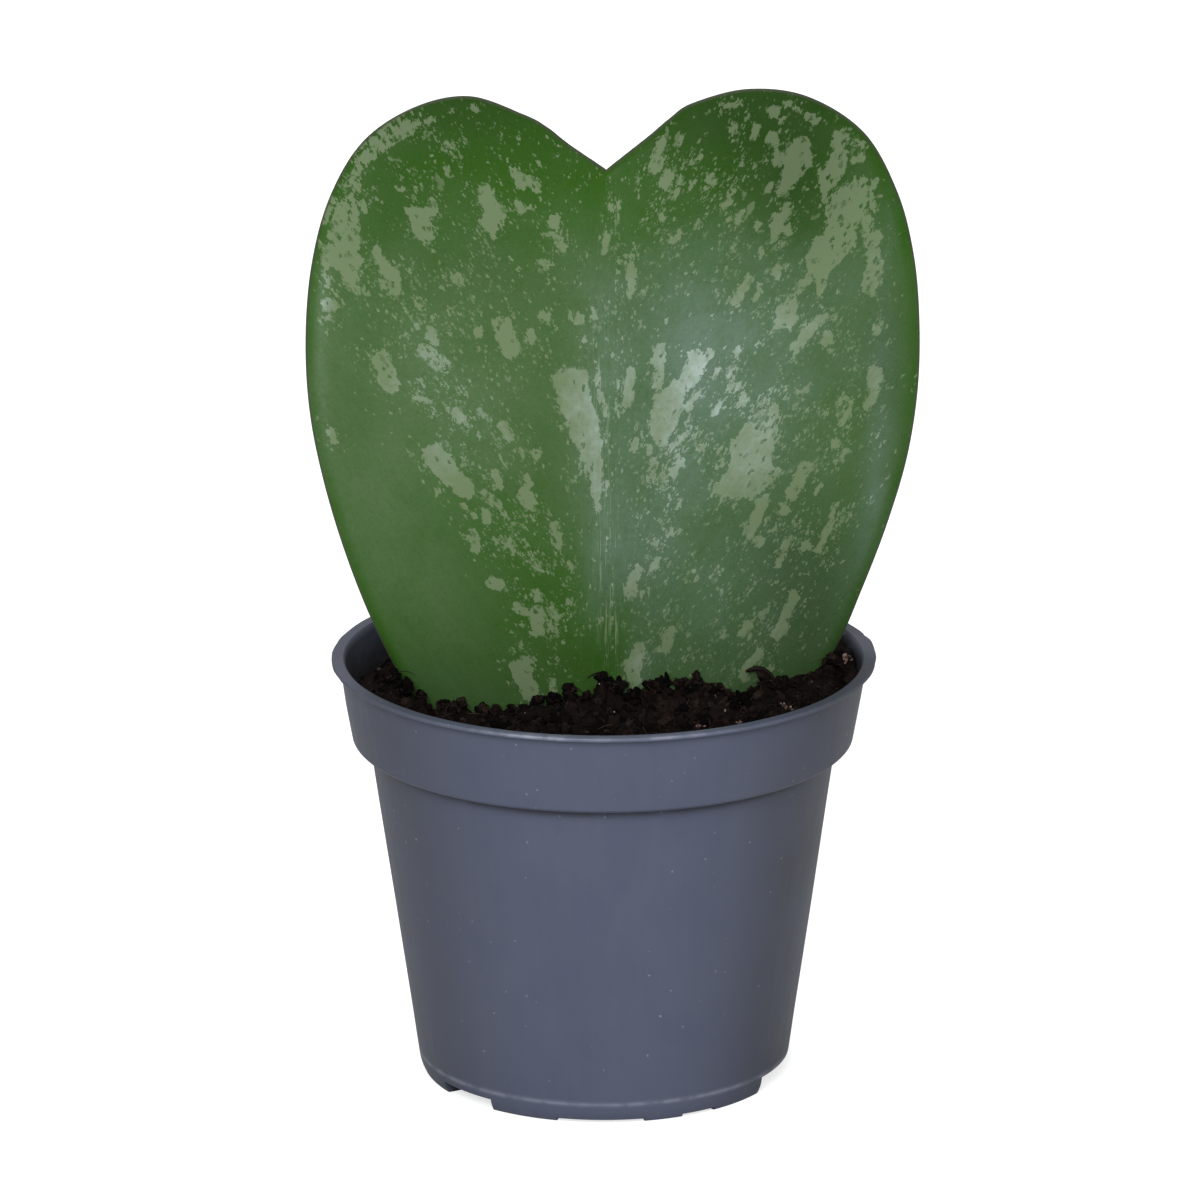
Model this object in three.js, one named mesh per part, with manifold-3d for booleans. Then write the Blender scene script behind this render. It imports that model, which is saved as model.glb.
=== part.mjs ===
// A potted hoya leaf: one thick heart-shaped leaf rooted upright in peat, in a round plastic nursery pot.
// Millimetres, +Z up. The origin lies on the pot's axis at the level of its feet, and the leaf's broad face
// looks along -Y, with +X to its right.

import * as THREE from 'three';
import { mergeVertices } from 'three/addons/utils/BufferGeometryUtils.js';
import Module from 'manifold-3d';

const wasm = await Module();
wasm.setup();

// ---------------------------------------------------------------------------------------------------------
// Driving dimensions
// ---------------------------------------------------------------------------------------------------------

const CLEARANCE = 0.35; // between pieces that touch
const COLOURS = { pot: 0x585e6e, soil: 0x1c1612, leaf: 0x4b7038 };

// The pot: one thin moulding. Radii and heights of its outer face, from the feet up to the lip.
const POT_HEIGHT = 71.3;
const POT_WALL = 0.8;
const POT_SIDES = 64;
const FOOT_INNER_RADIUS = 27.4;
const FOOT_RADIUS = 29.3;
const FLOOR_UNDERSIDE = 0.6;
const FLOOR_TOP = 1.6;
const CREASE = { radius: 31.0, height: 3.5 }; // where the base's chamfer meets the body
const STEP = [[38.65, 56.7], [41.0, 56.9], [41.3, 57.3]]; // the body's almost flat step out to the collar
const COLLAR_MIDDLE = [42.6, 64.6];
const LIP_OUTER_RADIUS = 45;
const LIP_INNER_RADIUS = 42.5;
const LIP_THICKNESS = 0.7;
const LIP_ROUNDING = 0.2;

// Azimuths are degrees from the front (-Y), growing towards +X.
const DRAIN_RECESSES = [ // moulded inwards at the foot, each with a drain slot in the floor
  { azimuth: -50.5, width: 23, height: 1.9 },
  { azimuth: 82, width: 42, height: 3.3 },
  { azimuth: 190, width: 26, height: 2.6 },
];
const DRAIN_DEPTH_RADIUS = 25.2;
const DRAIN_SLOT = { innerRadius: 18.5, outerRadius: 23.2, width: 16 };
const FOOT_GAPS = [ // low gaps between the feet
  { azimuth: -1, width: 28 },
  { azimuth: 36, width: 10 },
  { azimuth: 118, width: 12 },
  { azimuth: 152, width: 24 },
  { azimuth: 228, width: 24 },
  { azimuth: 268, width: 10 },
];

// The soil: its level, how it heaps up, and the crumbs on it.
const SOIL_LEVEL = 63.2;
const SOIL_BACK_SLOPE = 0.07;
const SOIL_RIGHT_RISE = { height: 6.2, from: 12, to: 40, frontY: -17, backY: 7 };
const SOIL_HEAPS = [ // x, y, height, radius
  [0.3, -5.0, 3.2, 2.6], [-7.0, -6.5, 2.0, 3.4], [8.5, -9.0, 1.6, 4.2], [16.5, -5.0, 2.0, 3.4],
  [-24.5, -9.5, 1.5, 3.2], [-16.0, -14.0, 1.0, 4.0], [25.0, -6.5, 1.6, 4.0], [-38.0, 5.0, 1.8, 4.4],
  [-20.0, 16.0, 1.6, 6.0], [6.0, 22.0, 2.2, 7.0], [24.0, 20.0, 1.2, 6.0], [-4.0, 34.0, 1.4, 5.0],
];
const SOIL_RINGS = 11;
const SOIL_SIDES = 40;
const CRUMB_COUNT = 100;
const CRUMB_RADIUS = { least: 1.3, most: 4.0 };
const CRUMB_SUNK = 0.45; // share of its radius that a crumb's middle lies below the surface
const CRUMB_CLEARANCE = 0.25; // to the pot's wall
const CRUMB_SEED = 20761;

// The leaf: its two margins from the stalk up and round the lobes to the notch, as x and z.
const LEFT_MARGIN = [
  [-2.2, 44.6], [-10.5, 47.6], [-19.5, 52.2], [-27.4, 58.8], [-33.4, 66.9], [-38.7, 77.8], [-43.0, 89.5],
  [-46.5, 102.0], [-48.8, 114.5], [-49.4, 127.0], [-48.5, 139.5], [-45.4, 150.8], [-39.8, 160.2],
  [-31.5, 165.7], [-22.5, 167.3], [-13.6, 163.9], [-6.1, 158.5], [-0.3, 154.2],
];
const RIGHT_MARGIN = [
  [2.2, 44.6], [11.0, 47.6], [21.0, 52.6], [30.4, 60.2], [38.1, 70.2], [42.7, 81.5], [46.5, 92.8],
  [49.3, 104.0], [51.0, 115.5], [51.3, 127.0], [50.2, 138.3], [47.2, 149.0], [41.5, 159.2], [32.5, 165.4],
  [22.8, 167.0], [13.8, 164.9], [6.4, 159.1], [-0.3, 154.2],
];
const MIDRIB_X = -0.3;
const LEAF_YAW = 0.11; // the right side stands this much further back, per millimetre
const MIDRIB_GROOVE = { depth: 1.2, width: 12 };
const RECURVE = { left: 1.6, right: 2.6, leftWidth: 10, rightWidth: 14 }; // the margins bend back
const BLADE_HALF_THICKNESS = { middle: 1.35, margin: 0.85, reach: 16 };
const MARGIN_ROUNDING = 1.3;
const STALK = { radius: 2.2, footRadius: 1.8, bottom: 34, rows: 4, blendTop: 60 };
const BLADE_ROWS = 40;
const BLADE_COLUMNS = [0.17, 0.35, 0.53, 0.7, 0.84, 0.935, 0.985]; // from the midrib to the margin
const VEIN_RISE = 1.3; // how far the rows start below the margin point that they run to

// ---------------------------------------------------------------------------------------------------------
// Small helpers
// ---------------------------------------------------------------------------------------------------------

function smoothstep(from, to, value) {
  return THREE.MathUtils.smoothstep(value, from, to);
}

// A repeatable random number between 0 and 1, from a seed.
function seededRandom(seed) {
  let state = seed;
  return () => {
    state = (state * 1664525 + 1013904223) % 4294967296;
    return state / 4294967296;
  };
}

// A closed geometry as a solid that can be joined and cut.
function solidFrom(geometry) {
  const bare = geometry.clone();
  bare.deleteAttribute('normal');
  bare.deleteAttribute('uv');
  const merged = mergeVertices(bare, 1e-4);
  const kept = [];
  for (let i = 0; i < merged.index.count; i += 3) {
    const [a, b, c] = merged.index.array.slice(i, i + 3);
    if (a !== b && b !== c && c !== a) kept.push(a, b, c);
  }
  return new wasm.Manifold(new wasm.Mesh({
    numProp: 3,
    vertProperties: merged.attributes.position.array,
    triVerts: new Uint32Array(kept),
  }));
}

function geometryFrom(solid) {
  const mesh = solid.getMesh();
  const geometry = new THREE.BufferGeometry();
  geometry.setAttribute('position', new THREE.BufferAttribute(mesh.vertProperties, 3));
  geometry.setIndex(new THREE.BufferAttribute(mesh.triVerts, 1));
  geometry.computeVertexNormals();
  return geometry;
}

// The largest body of a solid: a cut can leave small loose scraps beside it.
function largestBody(solid) {
  return solid.decompose().reduce((best, body) => (body.volume() > best.volume() ? body : best));
}

// A profile of [radius, height] pairs turned round the Z axis.
function turned(profile, sides) {
  const points = profile.map(([radius, height]) => new THREE.Vector2(radius, height));
  return new THREE.LatheGeometry(points, sides).rotateX(Math.PI / 2);
}

// A sector of a ring round the Z axis, centred on an azimuth.
function ringSector(azimuth, width, innerRadius, outerRadius, bottom, top) {
  const middle = THREE.MathUtils.degToRad(azimuth - 90);
  const half = THREE.MathUtils.degToRad(width / 2);
  const outline = new THREE.Shape();
  outline.absarc(0, 0, outerRadius, middle - half, middle + half, false);
  outline.absarc(0, 0, innerRadius, middle + half, middle - half, true);
  const options = { depth: top - bottom, bevelEnabled: false, curveSegments: 8 };
  return new THREE.ExtrudeGeometry(outline, options).translate(0, 0, bottom);
}

// A closed body from rings of points: consecutive rings are joined, and each end closes on one point.
function bodyFromRings(rings, firstPoint, lastPoint) {
  const sides = rings[0].length;
  const positions = [...rings.flat(), firstPoint, lastPoint].flat();
  const first = rings.length * sides;
  const last = first + 1;
  const index = [];
  for (let side = 0; side < sides; side += 1) {
    const next = (side + 1) % sides;
    index.push(first, next, side);
    for (let ring = 0; ring + 1 < rings.length; ring += 1) {
      const low = ring * sides;
      const high = low + sides;
      index.push(low + side, low + next, high + next, low + side, high + next, high + side);
    }
    const top = (rings.length - 1) * sides;
    index.push(last, top + side, top + next);
  }
  const geometry = new THREE.BufferGeometry();
  geometry.setAttribute('position', new THREE.Float32BufferAttribute(positions, 3));
  geometry.setIndex(index);
  return geometry;
}

// ---------------------------------------------------------------------------------------------------------
// Pot
// ---------------------------------------------------------------------------------------------------------

// The pot's wall from the crease up to the lip, as [radius, height], on its outer face.
function outerWall() {
  const lipUnderside = [LIP_INNER_RADIUS + POT_WALL, POT_HEIGHT - LIP_THICKNESS];
  return [[CREASE.radius, CREASE.height], ...STEP, COLLAR_MIDDLE, lipUnderside];
}

// The same wall on its inner face. A gap above 0 moves it further in.
function innerWall(gap) {
  const inset = POT_WALL + gap;
  return [
    [CREASE.radius - inset, CREASE.height],
    ...STEP.map(([radius, height]) => [radius - inset, height + POT_WALL + gap]),
    [COLLAR_MIDDLE[0] - inset, COLLAR_MIDDLE[1]],
    [LIP_INNER_RADIUS - gap, POT_HEIGHT - LIP_ROUNDING],
  ];
}

// The radius of the pot's inner face at a height.
function innerRadius(height) {
  const wall = innerWall(0);
  const found = wall.findIndex(([, level]) => level > height);
  const above = found < 0 ? wall.length - 1 : Math.max(found, 1);
  const [lowRadius, low] = wall[above - 1];
  const [highRadius, high] = wall[above];
  return THREE.MathUtils.mapLinear(height, low, high, lowRadius, highRadius);
}

function drainRecess(recess, grow) {
  const extraWidth = THREE.MathUtils.radToDeg((2 * grow) / DRAIN_DEPTH_RADIUS);
  const { azimuth, width, height } = recess;
  const depth = DRAIN_DEPTH_RADIUS - grow;
  return solidFrom(ringSector(azimuth, width + extraWidth, depth, LIP_OUTER_RADIUS, -1, height + grow));
}

function drainSlot(recess) {
  const { innerRadius: inner, outerRadius: outer, width } = DRAIN_SLOT;
  return solidFrom(ringSector(recess.azimuth, width, inner, outer, -1, FLOOR_TOP + 1));
}

function potGeometry() {
  const outer = [
    [0, FLOOR_UNDERSIDE], [FOOT_INNER_RADIUS, FLOOR_UNDERSIDE], [FOOT_INNER_RADIUS, 0], [FOOT_RADIUS, 0],
    ...outerWall(),
    [LIP_OUTER_RADIUS - LIP_ROUNDING, POT_HEIGHT - LIP_THICKNESS],
    [LIP_OUTER_RADIUS, POT_HEIGHT - LIP_THICKNESS + LIP_ROUNDING],
    [LIP_OUTER_RADIUS, POT_HEIGHT - LIP_ROUNDING],
    [LIP_OUTER_RADIUS - LIP_ROUNDING, POT_HEIGHT], [0, POT_HEIGHT],
  ];
  const inside = [
    [0, FLOOR_TOP], [FOOT_RADIUS - POT_WALL, FLOOR_TOP], ...innerWall(0),
    [LIP_INNER_RADIUS + LIP_ROUNDING, POT_HEIGHT], [LIP_INNER_RADIUS + LIP_ROUNDING, POT_HEIGHT + 1],
    [0, POT_HEIGHT + 1],
  ];
  let shell = solidFrom(turned(outer, POT_SIDES));
  let hollow = solidFrom(turned(inside, POT_SIDES));
  for (const recess of DRAIN_RECESSES) {
    hollow = hollow.subtract(drainRecess(recess, POT_WALL));
    shell = shell.subtract(drainRecess(recess, 0));
  }
  shell = shell.subtract(hollow);
  for (const recess of DRAIN_RECESSES) shell = shell.subtract(drainSlot(recess));
  for (const { azimuth, width } of FOOT_GAPS) {
    shell = shell.subtract(solidFrom(ringSector(azimuth, width, 20, 35, -1, FLOOR_UNDERSIDE)));
  }
  return geometryFrom(largestBody(shell));
}

// ---------------------------------------------------------------------------------------------------------
// Leaf
// ---------------------------------------------------------------------------------------------------------

function marginCurve(points) {
  const corners = points.map(([x, z]) => new THREE.Vector3(x, 0, z));
  return new THREE.CatmullRomCurve3(corners, false, 'catmullrom', 0.5);
}

// The leaf's outline as one run of points: up the left side, through the notch and down the right side.
function outlinePoints(left, right) {
  const foot = STALK.footRadius;
  const leftRun = [new THREE.Vector3(-foot, 0, STALK.bottom), ...left.getSpacedPoints(110)];
  const rightRun = [new THREE.Vector3(foot, 0, STALK.bottom), ...right.getSpacedPoints(110)];
  return [...leftRun, ...rightRun.reverse()];
}

function distanceToOutline(x, z, outline) {
  const point = new THREE.Vector3(x, 0, z);
  const nearest = new THREE.Vector3();
  let least = Infinity;
  for (let i = 0; i + 1 < outline.length; i += 1) {
    new THREE.Line3(outline[i], outline[i + 1]).closestPointToPoint(point, true, nearest);
    least = Math.min(least, nearest.distanceTo(point));
  }
  return least;
}

// How far back the middle of the blade's thickness lies at a point.
function bladeDepth(x, inset) {
  const across = x - MIDRIB_X;
  const side = smoothstep(-MIDRIB_GROOVE.width, MIDRIB_GROOVE.width, across);
  const recurve = THREE.MathUtils.lerp(RECURVE.left, RECURVE.right, side);
  const width = THREE.MathUtils.lerp(RECURVE.leftWidth, RECURVE.rightWidth, side);
  const groove = MIDRIB_GROOVE.depth * (1 - Math.exp(-((across / MIDRIB_GROOVE.width) ** 2)));
  return LEAF_YAW * across - groove + recurve * Math.max(0, 1 - inset / width) ** 2;
}

// Half the blade's thickness at a point, rounded off at the margin and as thick as the stalk at its base.
function halfThickness(z, inset) {
  const { middle, margin, reach } = BLADE_HALF_THICKNESS;
  const blade = THREE.MathUtils.lerp(margin, middle, smoothstep(0, reach, inset));
  const towardsBlade = smoothstep(LEFT_MARGIN[0][1], STALK.blendTop, z);
  const full = THREE.MathUtils.lerp(STALK.radius, blade, towardsBlade);
  const rounding = THREE.MathUtils.lerp(STALK.radius, MARGIN_ROUNDING, towardsBlade);
  const edge = Math.min(inset / rounding, 1);
  return full * Math.sqrt(1 - (1 - edge) ** 2);
}

// One ring round the blade: along its front from the left margin to the right, and back along its rear.
function bladeRing(leftEdge, rib, rightEdge, outline, grow) {
  const columns = BLADE_COLUMNS;
  const leftShares = [...columns].reverse();
  const across = [
    ...leftShares.map((share) => [leftEdge, share]), [rib, 0], ...columns.map((share) => [rightEdge, share]),
  ];
  const inner = across.map(([edge, share]) => {
    const point = rib.clone().lerp(edge, share);
    const inset = distanceToOutline(point.x, point.z, outline);
    const depth = bladeDepth(point.x, inset);
    const half = halfThickness(point.z, inset) + grow;
    return { point, depth, half };
  });
  const front = inner.map(({ point, depth, half }) => [point.x, depth - half, point.z]);
  const rear = inner.map(({ point, depth, half }) => [point.x, depth + half, point.z]).reverse();
  return [marginVertex(leftEdge, rib, grow), ...front, marginVertex(rightEdge, rib, grow), ...rear];
}

// The vertex on the margin itself, pushed outwards from the rib by the growth.
function marginVertex(edge, rib, grow) {
  const outwards = edge.clone().sub(rib).setLength(grow);
  const moved = edge.clone().add(outwards);
  return [moved.x, bladeDepth(edge.x, 0), moved.z];
}

// The leaf with its stalk, or with grow above 0 the hole that clears it.
function leafGeometry(grow) {
  const left = marginCurve(LEFT_MARGIN);
  const right = marginCurve(RIGHT_MARGIN);
  const outline = outlinePoints(left, right);
  const baseLevel = LEFT_MARGIN[0][1];
  const notchLevel = LEFT_MARGIN.at(-1)[1];
  const rings = [];
  for (let row = 0; row < STALK.rows; row += 1) {
    const share = row / STALK.rows;
    const level = THREE.MathUtils.lerp(STALK.bottom, baseLevel, share);
    const radius = THREE.MathUtils.lerp(STALK.footRadius, STALK.radius, share);
    const edges = [-radius, 0, radius].map((x) => new THREE.Vector3(x, 0, level));
    rings.push(bladeRing(...edges, outline, grow));
  }
  for (let row = 0; row < BLADE_ROWS; row += 1) {
    const share = row / BLADE_ROWS;
    const ribLevel = THREE.MathUtils.lerp(baseLevel, notchLevel, share ** VEIN_RISE);
    const rib = new THREE.Vector3(MIDRIB_X * share, 0, ribLevel);
    rings.push(bladeRing(left.getPointAt(share), rib, right.getPointAt(share), outline, grow));
  }
  const foot = [0, bladeDepth(0, STALK.footRadius), STALK.bottom - grow];
  const notch = [MIDRIB_X, bladeDepth(MIDRIB_X, 0), notchLevel + grow];
  return bodyFromRings(rings, foot, notch);
}

// ---------------------------------------------------------------------------------------------------------
// Soil
// ---------------------------------------------------------------------------------------------------------

function soilHeight(x, y) {
  const { height, from, to, frontY, backY } = SOIL_RIGHT_RISE;
  const rise = height * smoothstep(from, to, x) * smoothstep(frontY, backY, y);
  const heaps = SOIL_HEAPS.reduce((sum, [heapX, heapY, heapHeight, radius]) => {
    const reach = ((x - heapX) ** 2 + (y - heapY) ** 2) / radius ** 2;
    return sum + heapHeight * Math.exp(-reach);
  }, 0);
  const ripple = 0.45 * Math.sin(0.61 * x + 0.4) * Math.cos(0.53 * y) + 0.3 * Math.sin(1.13 * x - 0.9 * y);
  return SOIL_LEVEL + SOIL_BACK_SLOPE * y + rise + heaps + ripple;
}

// A ring of points round the soil: makePoint gets each point's direction.
function soilRing(makePoint) {
  return Array.from({ length: SOIL_SIDES }, (_, side) => {
    const angle = (2 * Math.PI * side) / SOIL_SIDES;
    return makePoint(Math.cos(angle), Math.sin(angle));
  });
}

// A ring on the lumpy top, a share of the way from the pot's axis to its wall.
function soilTopRing(share) {
  return soilRing((alongX, alongY) => {
    const nominal = innerRadius(SOIL_LEVEL);
    const edge = innerRadius(soilHeight(nominal * alongX, nominal * alongY)) - CLEARANCE;
    const x = share * edge * alongX;
    const y = share * edge * alongY;
    return [x, y, soilHeight(x, y)];
  });
}

// The filled inside of the pot: rings up the wall, then rings across the lumpy top.
function soilBody() {
  const floor = FLOOR_TOP + CLEARANCE;
  const walls = [[FOOT_RADIUS - POT_WALL - 2 * CLEARANCE, floor], ...innerWall(CLEARANCE).slice(0, -2)];
  const rings = walls.map(([radius, height]) => (
    soilRing((alongX, alongY) => [radius * alongX, radius * alongY, height])
  ));
  for (let ring = SOIL_RINGS; ring > 0; ring -= 1) rings.push(soilTopRing(ring / SOIL_RINGS));
  return bodyFromRings(rings, [0, 0, floor], [0, 0, soilHeight(0, 0)]);
}

// One crumb: a squashed, turned lump with its root sunk into the soil.
function crumb(random) {
  const radius = THREE.MathUtils.lerp(CRUMB_RADIUS.least, CRUMB_RADIUS.most, random() ** 1.3);
  const angle = 2 * Math.PI * random();
  const reach = (innerRadius(SOIL_LEVEL) - CLEARANCE - 1.4 * radius) * Math.sqrt(random());
  const x = reach * Math.cos(angle);
  const y = reach * Math.sin(angle);
  const lump = new THREE.IcosahedronGeometry(radius, 0);
  lump.scale(1, 0.7 + 0.6 * random(), 0.7 + 0.4 * random());
  lump.rotateX(Math.PI * random());
  lump.rotateZ(2 * Math.PI * random());
  return lump.translate(x, y, soilHeight(x, y) - CRUMB_SUNK * radius);
}

// The room inside the pot that the crumbs stay in.
function crumbRoom() {
  const top = POT_HEIGHT + CRUMB_RADIUS.most;
  const wall = innerWall(CRUMB_CLEARANCE);
  const profile = [[0, FLOOR_TOP], [wall[0][0], FLOOR_TOP], ...wall, [wall.at(-1)[0], top], [0, top]];
  return solidFrom(turned(profile, POT_SIDES));
}

function soilGeometry() {
  const random = seededRandom(CRUMB_SEED);
  const room = crumbRoom();
  let soil = solidFrom(soilBody());
  for (let i = 0; i < CRUMB_COUNT; i += 1) soil = soil.add(solidFrom(crumb(random)).intersect(room));
  for (const recess of DRAIN_RECESSES) soil = soil.subtract(drainRecess(recess, POT_WALL + CLEARANCE));
  soil = soil.subtract(solidFrom(leafGeometry(CLEARANCE)));
  return geometryFrom(largestBody(soil));
}

// ---------------------------------------------------------------------------------------------------------
// Assembly
// ---------------------------------------------------------------------------------------------------------

function namedMesh(name, geometry, colour, roughness) {
  const material = new THREE.MeshStandardMaterial({ color: colour, roughness, metalness: 0 });
  const mesh = new THREE.Mesh(geometry, material);
  mesh.name = name;
  return mesh;
}

const plant = new THREE.Group();
plant.add(namedMesh('pot', potGeometry(), COLOURS.pot, 0.45));
plant.add(namedMesh('soil', soilGeometry(), COLOURS.soil, 0.95));
plant.add(namedMesh('leaf', leafGeometry(0), COLOURS.leaf, 0.4));

export default plant;
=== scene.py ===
"""A hoya leaf cutting, dressed for rendering: one silver-splashed leaf rooted in a small nursery pot.

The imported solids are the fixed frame. Finer pieces that keep their form replace them, and procedural
finishes colour them. Lengths are in millimetres until a mesh is made, and angles are in degrees.
"""

import logging
import math
from dataclasses import dataclass
from enum import Enum

import bmesh
import bpy
import numpy as np
from mathutils import Matrix, Vector
from mathutils.kdtree import KDTree


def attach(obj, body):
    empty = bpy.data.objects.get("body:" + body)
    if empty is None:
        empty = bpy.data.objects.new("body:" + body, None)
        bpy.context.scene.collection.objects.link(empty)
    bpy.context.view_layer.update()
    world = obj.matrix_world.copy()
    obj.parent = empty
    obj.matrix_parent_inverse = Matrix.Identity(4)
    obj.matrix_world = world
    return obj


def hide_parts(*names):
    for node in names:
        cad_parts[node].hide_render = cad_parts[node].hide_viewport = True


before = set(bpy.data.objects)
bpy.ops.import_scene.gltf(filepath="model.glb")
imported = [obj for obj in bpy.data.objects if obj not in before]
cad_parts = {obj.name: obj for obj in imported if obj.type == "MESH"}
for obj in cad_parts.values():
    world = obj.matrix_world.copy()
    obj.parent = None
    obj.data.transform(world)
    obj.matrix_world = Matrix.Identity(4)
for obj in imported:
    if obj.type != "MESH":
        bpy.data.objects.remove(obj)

LOG = logging.getLogger("potted_leaf")
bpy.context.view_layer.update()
BODY = "root"
MM = 0.001
PHOTO_WIDTH = 1200
PHOTO_HEIGHT = 1204

Colour = tuple[float, float, float]
Row = tuple[float, ...]
Table = tuple[Row, ...]
Array = np.ndarray
Faces = list[tuple[int, ...]]
Shape = tuple[Array, Faces]
Piece = bpy.types.Object
Material = bpy.types.Material
NodeTree = bpy.types.NodeTree
Node = bpy.types.Node
Socket = bpy.types.NodeSocket
Given = Socket | Row | float


# -------------------- Numbers --------------------


def smoothstep(low: float, high: float, value: Array) -> Array:
    """Ease from 0 at low to 1 at high.

    Args:
        low: Value that gives 0.
        high: Value that gives 1.
        value: Values to ease.

    Returns:
        The eased shares.
    """
    share = np.clip((value - low) / (high - low), 0, 1)
    return share * share * (3 - 2 * share)


def lattice_noise(points: Array, grain: float, seed: int) -> Array:
    """Smooth random values that repeat for the same seed.

    Args:
        points: Points, one a row, in millimetres.
        grain: Distance between the lattice's own values, in millimetres.
        seed: Picks one noise among many.

    Returns:
        A value from -1 to 1 for each point.
    """
    seed_step, seed_wrap, key_step, key_wrap, values = 2654435761, 4294967291, 1103515245, 2147483629, 65521
    scaled = np.asarray(points, float) / grain
    cell = np.floor(scaled).astype(np.int64)
    part = scaled - cell
    part = part * part * (3 - 2 * part)
    total = np.zeros(len(scaled))
    for corner in np.ndindex(*(2,) * scaled.shape[1]):
        key = np.full(len(scaled), seed * seed_step % seed_wrap, np.int64)
        weight = np.ones(len(scaled))
        for axis, step in enumerate(corner):
            key = (key ^ (cell[:, axis] + step)) * key_step % key_wrap
            key = key ^ (key >> 15)
            weight *= part[:, axis] if step else 1 - part[:, axis]
        total += weight * (key % values) / (values - 1)
    return 2 * total - 1


def layered_noise(points: Array, grain: float, layers: int, seed: int) -> Array:
    """Noise with ever finer layers, each half as strong as the one before.

    Args:
        points: Points, one a row, in millimetres.
        grain: Grain of the coarsest layer, in millimetres.
        layers: Number of layers.
        seed: Seed of the first layer.

    Returns:
        A value of about -1 to 1 for each point.
    """
    noises = [lattice_noise(points, grain / 2**i, seed + i) / 2**i for i in range(layers)]
    return sum(noises) / sum(0.5**i for i in range(layers))


def spline_through(points: Array, steps: int) -> Array:
    """A smooth curve through points, with the given number of steps from each to the next.

    Args:
        points: Points, one a row.
        steps: Steps in each span.

    Returns:
        The curve's points, one a row.
    """
    padded = np.vstack([2 * points[0] - points[1], points, 2 * points[-1] - points[-2]])
    share = np.arange(steps)[:, None] / steps
    spans = [
        b + 0.5 * share * (c - a + share * (2 * a - 5 * b + 4 * c - d + share * (3 * b - a - 3 * c + d)))
        for a, b, c, d in zip(padded, padded[1:], padded[2:], padded[3:])
    ]
    return np.vstack([*spans, points[-1:]])


def evenly_spaced(curve: Array, count: int) -> Array:
    """Points at equal distances along a curve, both of its ends among them.

    Args:
        curve: The curve's points, one a row.
        count: Number of points wanted.

    Returns:
        The points, one a row.
    """
    lengths = np.concatenate([[0], np.cumsum(np.linalg.norm(np.diff(curve, axis=0), axis=1))])
    wanted = np.linspace(0, lengths[-1], count)
    return np.column_stack([np.interp(wanted, lengths, column) for column in curve.T])


# -------------------- Meshes --------------------


def make_piece(name: str, vertices: Array, faces: Faces) -> Piece:
    """Make a smooth-shaded mesh object from points in millimetres.

    Args:
        name: The piece's name.
        vertices: Points, one a row, in millimetres.
        faces: Corner indices of each face.

    Returns:
        The object, linked to the scene.
    """
    mesh = bpy.data.meshes.new(name)
    mesh.from_pydata((np.asarray(vertices) * MM).tolist(), [], faces)
    shell = bmesh.new()
    shell.from_mesh(mesh)
    bmesh.ops.recalc_face_normals(shell, faces=shell.faces)
    shell.to_mesh(mesh)
    shell.free()
    mesh.shade_smooth()
    piece = bpy.data.objects.new(name, mesh)
    bpy.context.scene.collection.objects.link(piece)
    return piece


def add_values(piece: Piece, name: str, values: Array) -> None:
    """Store a number or a vector at each vertex, for the piece's finish to read.

    Args:
        piece: The object.
        name: Name of the attribute.
        values: One number, or three, for each vertex.
    """
    plain = np.ndim(values) == 1
    layer = piece.data.attributes.new(name, "FLOAT" if plain else "FLOAT_VECTOR", "POINT")
    layer.data.foreach_set("value" if plain else "vector", np.asarray(values, np.float32).ravel())


def vertices_of(piece: Piece) -> Array:
    """Read a piece's vertices.

    Args:
        piece: The object.

    Returns:
        Its vertices in millimetres, one a row.
    """
    flat = np.empty(3 * len(piece.data.vertices), np.float32)
    piece.data.vertices.foreach_get("co", flat)
    return flat.reshape(-1, 3).astype(float) / MM


def move_vertices(piece: Piece, vertices: Array) -> None:
    """Put the piece's vertices at new places, given in millimetres."""
    piece.data.vertices.foreach_set("co", (vertices * MM).astype(np.float32).ravel())
    piece.data.update()


def circle(radius: float, level: float, sides: int) -> Array:
    """The corners of a level circle round the axis.

    Args:
        radius: Its radius.
        level: Its height.
        sides: Number of corners.

    Returns:
        The corners, one a row.
    """
    angles = np.linspace(0, 2 * math.pi, sides, endpoint=False)
    return np.column_stack([radius * np.cos(angles), radius * np.sin(angles), np.full(sides, level)])


def band_faces(rings: int, sides: int) -> Faces:
    """Quads between neighbouring rings of vertices.

    Args:
        rings: Number of rings.
        sides: Vertices in each ring, the last of which joins the first.

    Returns:
        Corner indices of each quad.
    """
    return [
        (ring * sides + side, ring * sides + (side + 1) % sides,
         (ring + 1) * sides + (side + 1) % sides, (ring + 1) * sides + side)
        for ring in range(rings - 1) for side in range(sides)
    ]


def closed_faces(rings: int, sides: int) -> Faces:
    """Faces of a closed body: the quads between its rings, and a fan of triangles at each end.

    Args:
        rings: Number of rings.
        sides: Vertices in each ring.

    Returns:
        Corner indices of each face. The tips of the two fans are the two vertices after the rings'.
    """
    first, last, top = rings * sides, rings * sides + 1, (rings - 1) * sides
    faces = band_faces(rings, sides)
    faces += [((side + 1) % sides, side, first) for side in range(sides)]
    faces += [(top + side, top + (side + 1) % sides, last) for side in range(sides)]
    return faces


def turned(profile: list[Row], sides: int) -> Shape:
    """Turn a profile that starts and ends on the axis into a closed body.

    Args:
        profile: Radius and height of each corner.
        sides: Number of sides round the axis.

    Returns:
        The vertices and the faces.
    """
    rings = [circle(radius, height, sides) for radius, height in profile[1:-1]]
    ends = [(0, 0, profile[0][1]), (0, 0, profile[-1][1])]
    return np.vstack([*rings, ends]), closed_faces(len(rings), sides)


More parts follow.
